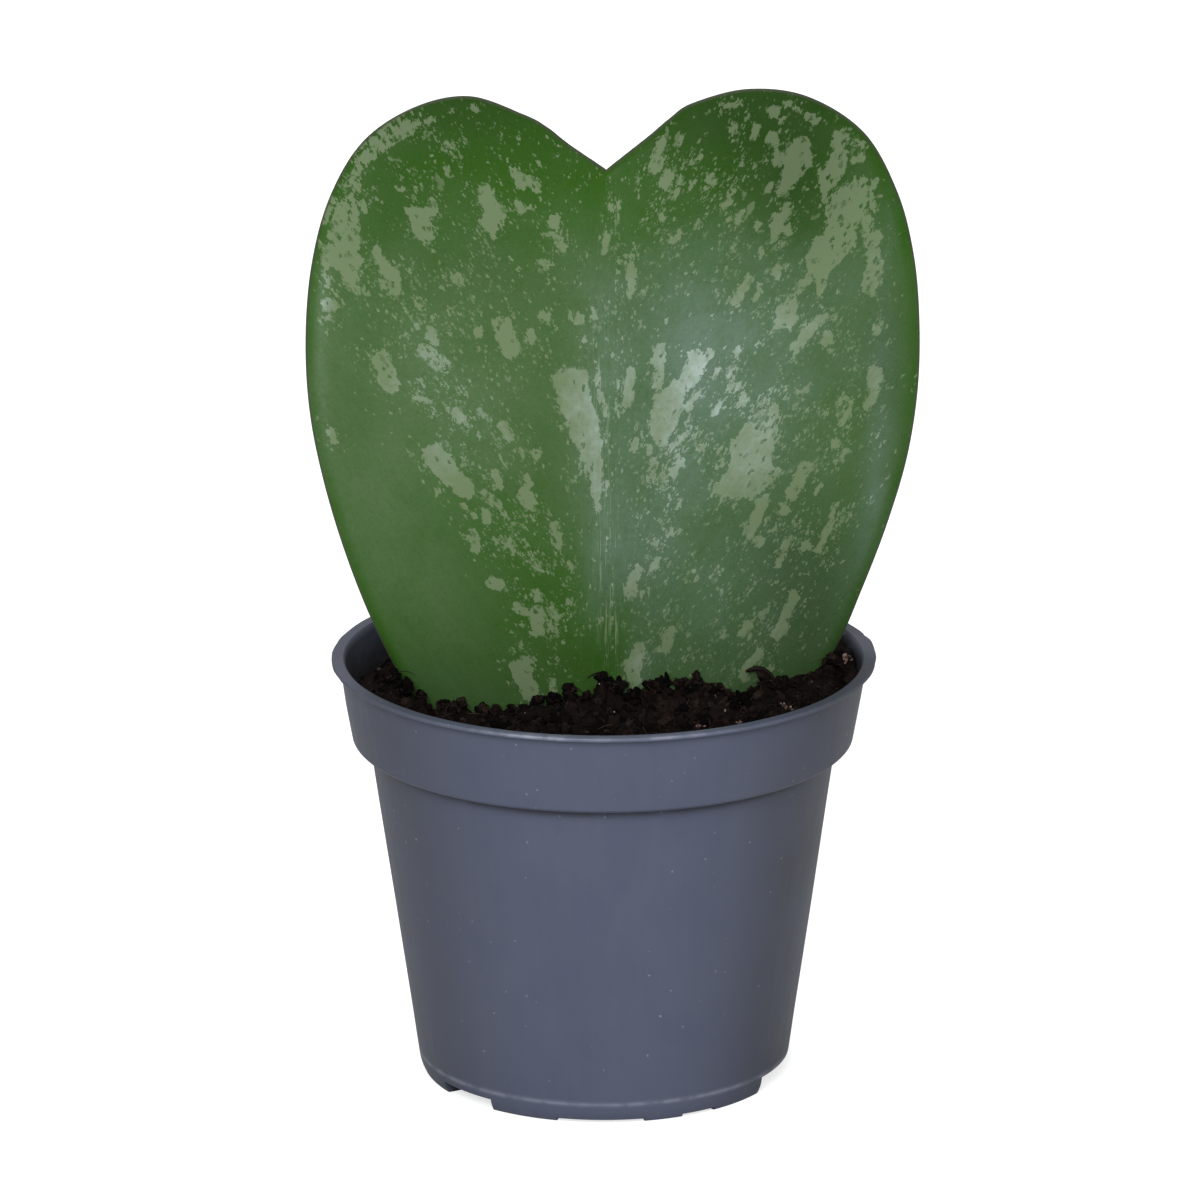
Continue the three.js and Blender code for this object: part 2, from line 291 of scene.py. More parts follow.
def icosphere(fineness: int) -> tuple[Array, Array]:
    """A ball of radius 1, which its user roughens.

    Args:
        fineness: How often its triangles are divided.

    Returns:
        Its corners, and the corner indices of its triangles.
    """
    shape = bmesh.new()
    bmesh.ops.create_icosphere(shape, subdivisions=fineness, radius=1)
    ball = np.array([vertex.co for vertex in shape.verts])
    corners = np.array([[vertex.index for vertex in face.verts] for face in shape.faces])
    shape.free()
    return ball, corners


def finely_divided(profile: list[Row], step: float) -> list[Row]:
    """Add points to a profile so that no stretch is longer than a step.

    Args:
        profile: Radius and height of each point.
        step: Longest stretch wanted.

    Returns:
        The profile with its added points.
    """
    points = [profile[0]]
    for start, end in zip(profile, profile[1:]):
        pieces = max(1, math.ceil(math.dist(start, end) / step))
        points += [tuple(np.add(start, np.subtract(end, start) * i / pieces)) for i in range(1, pieces + 1)]
    return points


def rounded(points: list[Row], radii: list[float], steps: int) -> list[Row]:
    """Replace a profile's corners with short curves.

    Args:
        points: Radius and height of its start, of its corners and of its end.
        radii: Distance from each corner at which its curve starts and ends.
        steps: Steps in each curve.

    Returns:
        The start, and the points of the curves.
    """
    shares = [step / steps for step in range(steps + 1)]
    made = [points[0]]
    for before, corner, after, radius in zip(points, points[1:], points[2:], radii):
        middle = Vector(corner)
        start = middle + (Vector(before) - middle).normalized() * radius
        end = middle + (Vector(after) - middle).normalized() * radius
        made += [tuple(start * (1 - s) ** 2 + middle * 2 * s * (1 - s) + end * s**2) for s in shares]
    return made


def ring_sector(azimuth: float, width: float, inner: float, outer: float, low: float, high: float) -> Shape:
    """A block bounded by two arcs round the axis.

    Args:
        azimuth: Direction of its middle, from the front towards +X.
        width: Angle that it spans.
        inner: Radius of its inner arc.
        outer: Radius of its outer arc.
        low: Height of its underside.
        high: Height of its top.

    Returns:
        The vertices and the faces.
    """
    steps = 12
    angles = np.radians(azimuth - 90 + np.linspace(-width / 2, width / 2, steps + 1))
    corners = [(inner, low), (outer, low), (outer, high), (inner, high)]
    rings = [
        [(radius * math.cos(angle), radius * math.sin(angle), height) for radius, height in corners]
        for angle in angles
    ]
    faces = band_faces(steps + 1, 4)
    faces += [(3, 2, 1, 0), tuple(4 * steps + i for i in range(4))]
    return np.array(rings).reshape(-1, 3), faces


def cut_away(piece: Piece, helper: Piece) -> None:
    """Cut a helper body out of a piece, and delete the helper.

    Args:
        piece: The body that is changed.
        helper: The helper body.
    """
    step = piece.modifiers.new("cut", "BOOLEAN")
    step.operation = "DIFFERENCE"
    step.solver = "MANIFOLD"
    step.object = helper
    graph = bpy.context.evaluated_depsgraph_get()
    result = bpy.data.meshes.new_from_object(piece.evaluated_get(graph))
    piece.modifiers.clear()
    used, piece.data = piece.data, result
    bpy.data.meshes.remove(used)
    bpy.data.objects.remove(helper)


# -------------------- Camera and studio --------------------


@dataclass
class PhotoCamera:
    """The camera that took the photograph: it looks down a little on the front of the plant."""

    distance: float = 1635.2
    elevation: float = 17.084
    target: Row = (-0.877, 0.0, 80.616)
    focal_pixels: float = 9888.0  # of the photograph's 1200 x 1204
    sensor: float = 36.0
    farthest: float = 20.0  # in metres

    def direction(self) -> Array:
        """The unit vector from the target to the camera."""
        lift = math.radians(self.elevation)
        return np.array([0.0, -math.cos(lift), math.sin(lift)])

    def build(self) -> None:
        """Make the camera and make it the scene's own."""
        data = bpy.data.cameras.new("photo_camera")
        data.sensor_width = self.sensor
        data.lens = self.sensor * self.focal_pixels / PHOTO_HEIGHT
        data.clip_end = self.farthest
        camera = bpy.data.objects.new("photo_camera", data)
        towards = Vector(self.direction())
        camera.location = Vector(self.target) * MM + towards * self.distance * MM
        camera.rotation_euler = (-towards).to_track_quat("-Z", "Y").to_euler()
        bpy.context.scene.collection.objects.link(camera)
        bpy.context.scene.camera = camera

    def upwards(self) -> Array:
        """The unit vector that points up in the picture."""
        towards = self.direction()
        return np.array([0.0, towards[2], -towards[1]])

    def pixels(self, points: Array) -> Array:
        """Where points fall in the photograph.

        Args:
            points: Points, one a row, in millimetres.

        Returns:
            The column and row of each, in the photograph's pixels.
        """
        offset = points - np.array(self.target)
        scale = self.focal_pixels / (self.distance - offset @ self.direction())
        column = PHOTO_WIDTH / 2 + offset[:, 0] * scale
        row = PHOTO_HEIGHT / 2 - (offset @ self.upwards()) * scale
        return np.column_stack([column, row])

    def sight_line(self, column: float, row: float, depths: Array) -> Array:
        """The points that one pixel of the photograph shows, at given depths.

        Args:
            column: The pixel's column.
            row: The pixel's row.
            depths: Distances back, along Y.

        Returns:
            The points, one a row, in millimetres.
        """
        eye = np.array(self.target) + self.distance * self.direction()
        way = self.upwards() * (PHOTO_HEIGHT / 2 - row) - self.direction() * self.focal_pixels
        way[0] += column - PHOTO_WIDTH / 2
        return eye + way * ((np.asarray(depths) - eye[1]) / way[1])[:, None]


@dataclass
class Studio:
    """A pale floor that glows like a light table, a soft surround and three softboxes."""

    floor_radius: float = 6000.0
    floor_sides: int = 64
    floor_colour: Colour = (0.62, 0.62, 0.62)
    floor_roughness: float = 0.9
    floor_glow: float = 0.68
    surround_colour: Colour = (1.0, 0.99, 0.97)
    surround_strength: float = 0.40
    light_colour: Colour = (0.94, 0.98, 1.0)
    softboxes: tuple[tuple, ...] = (  # name, place and side in metres, power in watts
        ("front_softbox", (-0.25, -1.8, 1.15), 1.0, 36.5),
        ("side_softbox", (1.5, -0.8, 0.9), 0.8, 5.0),
        ("high_rear_softbox", (-0.3, 1.0, 1.8), 0.8, 13.0),
    )
    aim: Row = (0.0, 0.0, 0.08)  # in metres

    def build(self) -> None:
        """Make the floor, the surround and the lights."""
        self._floor()
        self._surround()
        for softbox in self.softboxes:
            self._softbox(*softbox)
        bpy.context.scene.view_settings.view_transform = "Standard"
        LOG.info("studio: floor, surround and %d softboxes", len(self.softboxes))

    def _floor(self) -> None:
        """Make the floor disc."""
        rim = circle(self.floor_radius, 0, self.floor_sides)
        floor = make_piece("studio_floor", rim, [tuple(range(self.floor_sides))])
        finish = bpy.data.materials.new("studio_paper")
        finish.use_nodes = True
        shader = finish.node_tree.nodes["Principled BSDF"]
        shader.inputs["Base Color"].default_value = (*self.floor_colour, 1)
        shader.inputs["Roughness"].default_value = self.floor_roughness
        shader.inputs["Specular IOR Level"].default_value = 0.0
        shader.inputs["Emission Color"].default_value = (1, 1, 1, 1)
        sheet = Sheet(finish.node_tree)
        seen = sheet.node("ShaderNodeLightPath").outputs["Is Camera Ray"]
        sheet.feed(shader.inputs["Emission Strength"], sheet.math("MULTIPLY", seen, self.floor_glow))
        floor.data.materials.append(finish)

    def _surround(self) -> None:
        """Light the scene evenly from all round."""
        world = bpy.data.worlds.new("studio_surround")
        world.use_nodes = True
        backdrop = world.node_tree.nodes["Background"]
        backdrop.inputs["Color"].default_value = (*self.surround_colour, 1)
        sheet = Sheet(world.node_tree)
        seen = sheet.node("ShaderNodeLightPath").outputs["Is Camera Ray"]
        sheet.feed(backdrop.inputs["Strength"], sheet.math("MAXIMUM", seen, self.surround_strength))
        bpy.context.scene.world = world

    def _softbox(self, name: str, place: Row, size: float, power: float) -> None:
        """Add a square area light that faces the plant.

        Args:
            name: The light's name.
            place: Its position, in metres.
            size: Length of its side, in metres.
            power: Its power, in watts.
        """
        data = bpy.data.lights.new(name, "AREA")
        data.size = size
        data.energy = power
        data.color = self.light_colour
        light = bpy.data.objects.new(name, data)
        light.location = place
        way = Vector(self.aim) - light.location
        light.rotation_euler = way.to_track_quat("-Z", "Y").to_euler()
        bpy.context.scene.collection.objects.link(light)


# -------------------- Shader helpers --------------------


class Sheet:
    """Adds nodes to a material's or a group's node tree, and links them."""

    def __init__(self, tree: NodeTree) -> None:
        """Work on the given tree."""
        self.tree = tree

    def node(self, kind: str, inputs: dict | None = None, **settings: object) -> Node:
        """Add a node.

        Args:
            kind: The node's type.
            inputs: Values or sockets for its inputs, by name or number.
            settings: Its own settings.

        Returns:
            The node.
        """
        made = self.tree.nodes.new(kind)
        for name, value in settings.items():
            setattr(made, name, value)
        for name, value in (inputs or {}).items():
            self.feed(made.inputs[name], value)
        return made

    def feed(self, socket: Socket, value: Given) -> None:
        """Link a socket to an input, or set the input's own value.

        Args:
            socket: The input.
            value: A socket, a colour or a number.
        """
        if isinstance(value, Socket):
            self.tree.links.new(value, socket)
        elif isinstance(value, tuple) and socket.type == "RGBA":
            socket.default_value = (*value, 1)
        else:
            socket.default_value = value

    def value(self, name: str) -> Socket:
        """A number stored at the vertices."""
        return self.node("ShaderNodeAttribute", attribute_name=name).outputs["Fac"]

    def vector(self, name: str) -> Socket:
        """A vector stored at the vertices."""
        return self.node("ShaderNodeAttribute", attribute_name=name).outputs["Vector"]

    def math(self, operation: str, first: Given, second: Given = 0.0, clamp: bool = False) -> Socket:
        """The result of one sum of two numbers or sockets, kept between 0 and 1 if clamp is set."""
        made = self.node("ShaderNodeMath", {0: first, 1: second}, operation=operation, use_clamp=clamp)
        return made.outputs[0]

    def span(self, value: Given, low: float, high: float, start: float = 0.0, end: float = 1.0) -> Socket:
        """Map a number smoothly from one span to another, clamped.

        Args:
            value: The number's socket.
            low: Value that gives start.
            high: Value that gives end.
            start: Result at low.
            end: Result at high.

        Returns:
            The result's socket.
        """
        inputs = {"Value": value, "From Min": low, "From Max": high, "To Min": start, "To Max": end}
        made = self.node("ShaderNodeMapRange", inputs, interpolation_type="SMOOTHSTEP")
        return made.outputs["Result"]

    def blend(self, share: Given, first: Given, second: Given) -> Socket:
        """Mix two colours or sockets: a share of 1 gives the second."""
        inputs = {0: share, 6: first, 7: second}
        return self.node("ShaderNodeMix", inputs, data_type="RGBA").outputs[2]

    def scaled(self, vector: Socket, scale: Row) -> Socket:
        """Stretch a vector along its axes."""
        made = self.node("ShaderNodeVectorMath", {0: vector, 1: scale}, operation="MULTIPLY")
        return made.outputs[0]

    def noise(self, vector: Socket, scale: Given, detail: float = 2.0, roughness: float = 0.5) -> Socket:
        """Cloudy noise from 0 to 1 at a place, with detail for its finer layers and roughness for theirs."""
        inputs = {"Vector": vector, "Scale": scale, "Detail": detail, "Roughness": roughness}
        return self.node("ShaderNodeTexNoise", inputs).outputs["Fac"]

    def bump(self, shader: Node, height: Socket, depth: float, strength: float) -> None:
        """Roughen a shader's surface: a height of 1 stands for the depth, in millimetres."""
        inputs = {"Height": height, "Distance": depth * MM, "Strength": strength}
        self.feed(shader.inputs["Normal"], self.node("ShaderNodeBump", inputs).outputs[0])

    def group(self, tree: NodeTree, inputs: dict) -> Socket:
        """Place a node group, with values or sockets for its inputs by name, and return its output."""
        return self.node("ShaderNodeGroup", inputs, node_tree=tree).outputs[0]


class Cells(Enum):
    """What the cells of a fleck effect fill."""

    PLANE = "2D"
    SPACE = "3D"


class Effects:
    """The surface effects that the finishes share, each one a node group."""

    def __init__(self) -> None:
        """Build every group once."""
        self.flecks = self._flecks("Flecks", Cells.PLANE)
        self.specks = self._flecks("Specks", Cells.SPACE)
        self.grain = self._grain()

    @staticmethod
    def _start(name: str, inputs: dict, output: str) -> tuple[Sheet, dict, Socket]:
        """Make an empty group with its sockets.

        Args:
            name: The group's name.
            inputs: Default value of each input; None makes a vector.
            output: Name of its output, a number.

        Returns:
            The group's sheet, its inputs by name and the socket that its output is fed to.
        """
        tree = bpy.data.node_groups.new(name, "ShaderNodeTree")
        for label, default in inputs.items():
            kind = "NodeSocketVector" if default is None else "NodeSocketFloat"
            socket = tree.interface.new_socket(name=label, in_out="INPUT", socket_type=kind)
            if default is not None:
                socket.default_value = default
        tree.interface.new_socket(name=output, in_out="OUTPUT", socket_type="NodeSocketFloat")
        given = tree.nodes.new("NodeGroupInput").outputs
        out = tree.nodes.new("NodeGroupOutput").inputs[output]
        return Sheet(tree), {label: given[label] for label in inputs}, out

    def _flecks(self, name: str, filled: Cells) -> NodeTree:
        """Small ragged spots of random size: Share of the cells hold one, of up to Size.

        Args:
            name: The group's name.
            filled: Whether the cells fill a plane or all of space.

        Returns:
            The group.
        """
        inputs = {"Vector": None, "Scale": 1.0, "Share": 0.5, "Size": 0.5, "Ragged": 0.3}
        sheet, given, out = self._start(name, inputs, "Mask")
        jitter = sheet.node("ShaderNodeTexNoise", {"Vector": given["Vector"], "Detail": 3.0})
        fineness = sheet.math("MULTIPLY", given["Scale"], 2.6)
        sheet.feed(jitter.inputs["Scale"], fineness)
        inputs = {0: jitter.outputs["Color"], 1: (0.5, 0.5, 0.5)}
        centred = sheet.node("ShaderNodeVectorMath", inputs, operation="SUBTRACT").outputs[0]
        shift = sheet.math("DIVIDE", given["Ragged"], given["Scale"])
        offset = sheet.node("ShaderNodeVectorMath", {0: centred}, operation="SCALE")
        sheet.feed(offset.inputs["Scale"], sheet.math("MULTIPLY", shift, 2.0))
        moved = sheet.node("ShaderNodeVectorMath", {0: given["Vector"], 1: offset.outputs[0]})
        cells = sheet.node("ShaderNodeTexVoronoi", voronoi_dimensions=filled.value)
        sheet.feed(cells.inputs["Vector"], moved.outputs[0])
        sheet.feed(cells.inputs["Scale"], given["Scale"])
        draws = sheet.node("ShaderNodeSeparateColor", {0: cells.outputs["Color"]}).outputs
        empty = sheet.math("SUBTRACT", 1.0, given["Share"])
        chosen = sheet.math("SUBTRACT", draws[0], empty)
        room = sheet.math("MAXIMUM", given["Share"], 0.02)
        radius = sheet.math("MULTIPLY", sheet.math("DIVIDE", chosen, room), given["Size"])
        inside = sheet.math("SUBTRACT", radius, cells.outputs["Distance"])
        strength = sheet.span(draws[1], 0.0, 0.6, 0.5, 1.0)
        sheet.feed(out, sheet.math("MULTIPLY", sheet.span(inside, 0.0, 0.10), strength))
        return sheet.tree

    def _grain(self) -> NodeTree:
        """The fine unevenness of a surface, with coarser waves in it.

        Returns:
            The group.
        """
        inputs = {"Vector": None, "Scale": 1.0, "Coarse": 0.3}
        sheet, given, out = self._start("Grain", inputs, "Height")
        fine = sheet.noise(given["Vector"], given["Scale"], 4.0)
        wide = sheet.noise(given["Vector"], sheet.math("MULTIPLY", given["Scale"], 0.17), 3.0)
        inputs = {0: given["Coarse"], 2: fine, 3: wide}
        height = sheet.node("ShaderNodeMix", inputs, data_type="FLOAT")
        sheet.feed(out, height.outputs[0])
        return sheet.tree


@dataclass(frozen=True)
class Gloss:
    """What is the same all over a finish: how strongly it mirrors, and its shader's extras."""

    specular: float
    subsurface: float = 0.0
    subsurface_radius: Colour = (0.001, 0.001, 0.001)


def start_finish(name: str, gloss: Gloss) -> tuple[Material, Sheet, Node]:
    """Make a material with its own shader.

    Args:
        name: The material's name.
        gloss: The shader's uniform values.

    Returns:
        The material, its sheet and its shader.
    """
    material = bpy.data.materials.new(name)
    material.use_nodes = True
    sheet = Sheet(material.node_tree)
    shader = material.node_tree.nodes["Principled BSDF"]
    shader.inputs["Specular IOR Level"].default_value = gloss.specular
    if gloss.subsurface:
        shader.inputs["Subsurface Weight"].default_value = gloss.subsurface
        shader.inputs["Subsurface Radius"].default_value = gloss.subsurface_radius
        shader.inputs["Subsurface Scale"].default_value = 1.0
    return material, sheet, shader


def place_in_mm(sheet: Sheet) -> Socket:
    """The point on the surface, in millimetres."""
    place = sheet.node("ShaderNodeTexCoord").outputs["Object"]
    return sheet.scaled(place, (1 / MM, 1 / MM, 1 / MM))


# -------------------- Finishes --------------------


@dataclass(frozen=True)
class MouldedPlastic:
    """Blue-grey satin plastic: faint upright streaks, pale specks, painted highlights on the lip and crease,
    painted shade on its sides, and insides stained by peat and darkened by painted shade.
    """

    body: Colour = (0.074, 0.082, 0.128)
    worn: Colour = (0.086, 0.094, 0.138)
    # Painted highlight colour of the lip's edge and the crease.
    painted_edge_highlight: Colour = (0.30, 0.31, 0.38)
    speck: Colour = (0.26, 0.27, 0.31)
    # Peat stain with painted shade inside, and painted shadow under the collar's ledge, darken towards this.
    peat_stain_and_shade: Colour = (0.013, 0.009, 0.008)
    # Painted shade: the colour the pot's sides darken towards.
    painted_side_shade: Colour = (0.035, 0.037, 0.042)
    gloss: Gloss = Gloss(specular=0.28)

    def build(self, effects: Effects) -> Material:
        """Make the material.

        Args:
            effects: The shared surface effects.

        Returns:
            The material.
        """
        material, sheet, shader = start_finish("moulded_plastic", self.gloss)
        place = place_in_mm(sheet)
        upright = sheet.noise(sheet.scaled(place, (1.0, 1.0, 0.06)), 0.55, 4.0, 0.6)
        cloudy = sheet.noise(place, 0.08, 3.0)
        streaks = sheet.span(upright, 0.3, 0.7, 0.0, 0.3)
        tone = sheet.math("ADD", streaks, sheet.span(cloudy, 0.35, 0.65, 0.0, 0.5))
        colour = sheet.blend(tone, self.body, self.worn)
        # Painted shade on the sides away from the front, more on the right.
        side_shaded = sheet.math("MULTIPLY", sheet.value("painted_side_shade"), sheet.span(cloudy, 0.3, 0.7, 0.7, 1.0))
        colour = sheet.blend(side_shaded, colour, self.painted_side_shade)
        specks = sheet.group(effects.specks, {"Vector": place, "Scale": 0.55, "Share": 0.6, "Size": 0.17})
        colour = sheet.blend(sheet.math("MULTIPLY", specks, 0.7), colour, self.speck)
        # Painted highlight on the lip's edge and the crease, partly rubbed wear, broken up by noise.
        wear_and_highlight = sheet.span(sheet.noise(place, 0.35, 3.0), 0.35, 0.6, 0.35, 1.0)
        colour = sheet.blend(sheet.math("MULTIPLY", sheet.value("edge"), wear_and_highlight), colour, self.painted_edge_highlight)
        # Peat stain with painted shade inside the pot, and painted shadow under the collar's ledge.
        patchy_darkening = sheet.span(sheet.noise(place, 0.22, 4.0, 0.6), 0.3, 0.6, 0.6, 1.0)
        colour = sheet.blend(sheet.math("MULTIPLY", sheet.value("peat_stain_and_shade"), patchy_darkening), colour, self.peat_stain_and_shade)
        sheet.feed(shader.inputs["Base Color"], colour)
        sheet.feed(shader.inputs["Roughness"], sheet.span(upright, 0.3, 0.7, 0.45, 0.50))
        grain = sheet.group(effects.grain, {"Vector": place, "Scale": 2.4, "Coarse": 0.4})
        sheet.bump(shader, grain, 0.06, 0.5)
        return material


class Matter(Enum):
    """What the pieces of the soil are made of."""

    PEAT = "peat"
    FIBRE = "fibre"
    BARK = "bark"
    WOOD = "wood"
    PALE = "pale"


@dataclass(frozen=True)
class Earth:
    """Moist peat, and the fibres, chips and grains in it: one finish, in the tints of each matter."""

    matter: Matter
    dark: Colour
    light: Colour
    roughness: Row = (0.6, 0.9)
    uneven: Row = (0.4, 1.2)
    depth: float = 0.2  # of its grain, in millimetres
    dust: Colour = (0.07, 0.048, 0.042)
    dusty: float = 0.0
    gloss: Gloss = Gloss(specular=0.15)

    def build(self, effects: Effects) -> Material:
        """Make the material.

        Args:
            effects: The shared surface effects.

        Returns:
            The material.
        """
        material, sheet, shader = start_finish(self.matter.value, self.gloss)
        place = place_in_mm(sheet)
        height = sheet.group(effects.grain, {"Vector": place, "Scale": 2.8, "Coarse": 0.5})
        tone = sheet.math("MULTIPLY", sheet.value("tone"), sheet.span(height, 0.3, 0.7, *self.uneven))
        colour = sheet.blend(tone, self.dark, self.light)
        specks = sheet.group(effects.specks, {"Vector": place, "Scale": 1.3, "Share": 0.16, "Size": 0.14})
        colour = sheet.blend(sheet.math("MULTIPLY", specks, self.dusty), colour, self.dust)
        sheet.feed(shader.inputs["Base Color"], colour)
        sheet.feed(shader.inputs["Roughness"], sheet.span(height, 0.3, 0.7, *self.roughness))
        sheet.bump(shader, height, self.depth, 0.8)
        return material


@dataclass(frozen=True)
class WaxyLeaf:
    """A thick waxy leaf: greens, blue-grey bloom with painted sheen, painted shade, silver splashes and fine
    flecks along its veins.
    """

    green: Colour = (0.050, 0.107, 0.028)
    vivid: Colour = (0.027, 0.090, 0.0045)
    # Colours of the painted sheen, partly waxy bloom, on the left half and on the right.
    warm_bloom_and_sheen: Colour = (0.112, 0.180, 0.090)
    cool_bloom_and_sheen: Colour = (0.118, 0.182, 0.132)
    splash: Colour = (0.142, 0.195, 0.098)
    # Colour of the splashes where the painted sheen is strong.
    silver: Colour = (0.350, 0.425, 0.380)
    shadow: Colour = (0.002, 0.004, 0.001)
    back: Colour = (0.095, 0.170, 0.062)
    pale_back: Colour = (0.150, 0.235, 0.105)
    back_vein: Colour = (0.210, 0.285, 0.140)
    rim: Colour = (0.055, 0.060, 0.040)
    upright_reach: float = 6.5
    fleck_layers: Table = (  # fineness, share, size, strength
        (0.50, 0.22, 0.38, 1.0), (1.0, 0.33, 0.42, 1.0), (1.9, 0.40, 0.48, 1.0), (3.2, 0.30, 0.55, 0.75),
    )
    gloss: Gloss = Gloss(specular=0.12, subsurface=0.05, subsurface_radius=(0.0006, 0.0012, 0.0003))

    def build(self, effects: Effects) -> Material:
        """Make the material.

        Args:
            effects: The shared surface effects.

        Returns:
            The material.
        """
        material, sheet, shader = start_finish("waxy_leaf", self.gloss)
        place = place_in_mm(sheet)
        flow = self._flow(sheet, place)
        front = sheet.value("front")
        # Painted sheen, partly waxy bloom.
        bloom_and_sheen = self._bloom_and_sheen(sheet, flow, place)
        colour = self._greens(sheet, place, bloom_and_sheen)
        mask = self._splash_mask(sheet, effects, flow, place)
        cloudy = sheet.span(sheet.noise(place, 0.35, 2.0), 0.35, 0.65, 0.8, 1.3)
        # The splashes turn silver where the painted sheen is strong.
        silvery = sheet.math("MULTIPLY", sheet.math("SUBTRACT", bloom_and_sheen, 0.2), cloudy, clamp=True)
        colour = sheet.blend(mask, colour, sheet.blend(silvery, self.splash, self.silver))
        darker = sheet.math("MULTIPLY", sheet.value("shade"), sheet.span(mask, 0.0, 1.0, 0.5, 0.3))
        colour = sheet.blend(darker, colour, self.shadow)
        colour = sheet.blend(front, self._back_colour(sheet, place), colour)
        colour = sheet.blend(sheet.span(sheet.value("inset"), 0.50, 0.08, 0.0, 0.8), colour, self.rim)
        sheet.feed(shader.inputs["Base Color"], colour)
        grain = sheet.group(effects.grain, {"Vector": place, "Scale": 3.2, "Coarse": 0.35})
        dull = sheet.math("MULTIPLY", sheet.value("shade"), 0.3)
        fine = sheet.span(grain, 0.3, 0.7, 0.36, 0.48)
        sheet.feed(shader.inputs["Roughness"], sheet.math("ADD", fine, dull))
        sheet.bump(shader, grain, 0.05, 0.6)
        return material

    def _flow(self, sheet: Sheet, place: Socket) -> Socket:
        """Distances across and along the veins: upright by the midrib, leaning out beyond it.

        Args:
            sheet: The material's sheet.
            place: The point on the surface.

        Returns:
            The distances' socket.
        """
        ragged = sheet.span(sheet.noise(place, 0.5, 2.0), 0.2, 0.8, -3.0, 3.0)
        turn = sheet.math("ADD", sheet.value("off_rib"), ragged)
        leaning = sheet.math("GREATER_THAN", turn, self.upright_reach)
        inputs = {0: leaning, 4: sheet.vector("upright_flow"), 5: sheet.vector("leaning_flow")}
        return sheet.node("ShaderNodeMix", inputs, data_type="VECTOR").outputs[1]

    def _bloom_and_sheen(self, sheet: Sheet, flow: Socket, place: Socket) -> Socket:
        """How much blue-grey painted sheen, partly waxy bloom, the leaf shows, cloudy and faintly streaked.

        Args:
            sheet: The material's sheet.
            flow: Distances across and along the veins.
            place: The point on the surface.

        Returns:
            The share of painted sheen and bloom.
        """
        streaks = sheet.noise(sheet.scaled(flow, (1.5, 0.10, 1.0)), 1.0, 3.0, 0.6)
        soft = sheet.noise(place, 0.10, 4.0, 0.6)
        mottled = sheet.span(sheet.noise(place, 1.1, 5.0, 0.75), 0.3, 0.7, -0.5, 0.5)
        fine = sheet.math("ADD", sheet.span(streaks, 0.3, 0.7, -0.3, 0.3), mottled)
        uneven = sheet.math("ADD", fine, sheet.span(soft, 0.3, 0.7, -1.0, 1.0))
        given = sheet.value("bloom_and_sheen")
        strength = sheet.math("MULTIPLY", sheet.math("ADD", given, 0.10), 0.28)
        return sheet.math("ADD", given, sheet.math("MULTIPLY", uneven, strength), clamp=True)

    def _greens(self, sheet: Sheet, place: Socket, bloom_and_sheen: Socket) -> Socket:
        """The leaf's greens under the splashes, blended with the painted sheen and bloom, with the finest
        dark grain of the wax.

        Args:
            sheet: The material's sheet.
            place: The point on the surface.
            bloom_and_sheen: The share of painted sheen and bloom.

        Returns:
            The colour.
        """
        patchy = sheet.noise(place, 0.12, 4.0, 0.6)
        vivid = sheet.math("ADD", sheet.value("vivid"), sheet.span(patchy, 0.3, 0.7, -0.15, 0.15), clamp=True)
        # Painted sheen: warmer on the left half, cooler on the right.
        bloom_and_sheen_colour = sheet.blend(sheet.value("cool"), self.warm_bloom_and_sheen, self.cool_bloom_and_sheen)
        colour = sheet.blend(bloom_and_sheen, sheet.blend(vivid, self.green, self.vivid), bloom_and_sheen_colour)
        # Cloudy patches of the painted sheen take the splashes' colour.
        dusty = sheet.span(sheet.noise(place, 2.8, 3.0, 0.75), 0.42, 0.72, 0.0, 0.35)
        colour = sheet.blend(sheet.math("MULTIPLY", dusty, bloom_and_sheen), colour, self.splash)
        speckled = sheet.span(sheet.noise(place, 2.3, 4.0, 0.75), 0.45, 0.7, 0.0, 0.16)
        return sheet.blend(speckled, colour, self.shadow)

    def _splash_mask(self, sheet: Sheet, effects: Effects, flow: Socket, place: Socket) -> Socket:
        """Where the silver shows: the ragged splashes, the flecks and the streaks by the midrib.

        Args:
            sheet: The material's sheet.
            effects: The shared surface effects.
            flow: Distances across and along the veins.
            place: The point on the surface.

        Returns:
            The mask.
        """
        stretched = sheet.scaled(flow, (1.0, 0.55, 1.0))
        ragged = sheet.noise(stretched, 1.15, 6.0, 0.70)
        edge = sheet.math("ADD", sheet.value("splash"), sheet.span(ragged, 0.25, 0.75, -0.75, 0.75))
        holes = sheet.math("ADD", sheet.math("MULTIPLY", sheet.value("pitted"), 0.8), 0.12)
        hole_inputs = {"Vector": stretched, "Scale": 1.35, "Share": holes, "Size": 0.60, "Ragged": 0.7}
        pits = sheet.group(effects.flecks, hole_inputs)
        big = sheet.math("SUBTRACT", sheet.span(edge, -0.04, 0.05), pits, clamp=True)
        drift = sheet.noise(sheet.scaled(flow, (1.0, 0.5, 1.0)), 0.24, 3.0, 0.6)
        amount = sheet.math("MULTIPLY", sheet.value("flecked"), sheet.span(drift, 0.36, 0.64, 0.05, 1.8))
        small = big
        for fineness, share, size, strength in self.fleck_layers:
            inputs = {"Vector": stretched, "Scale": fineness, "Size": size, "Ragged": 0.75}
            inputs["Share"] = sheet.math("MULTIPLY", amount, share)
            layer = sheet.group(effects.flecks, inputs)
            small = sheet.math("MAXIMUM", small, sheet.math("MULTIPLY", layer, strength))
        lines = sheet.noise(sheet.scaled(place, (1.0, 0.0, 0.035)), 3.2, 3.0, 0.65)
        ribbed = sheet.math("MULTIPLY", sheet.span(lines, 0.55, 0.62), sheet.value("ribbed"))
        return sheet.math("MAXIMUM", small, ribbed)

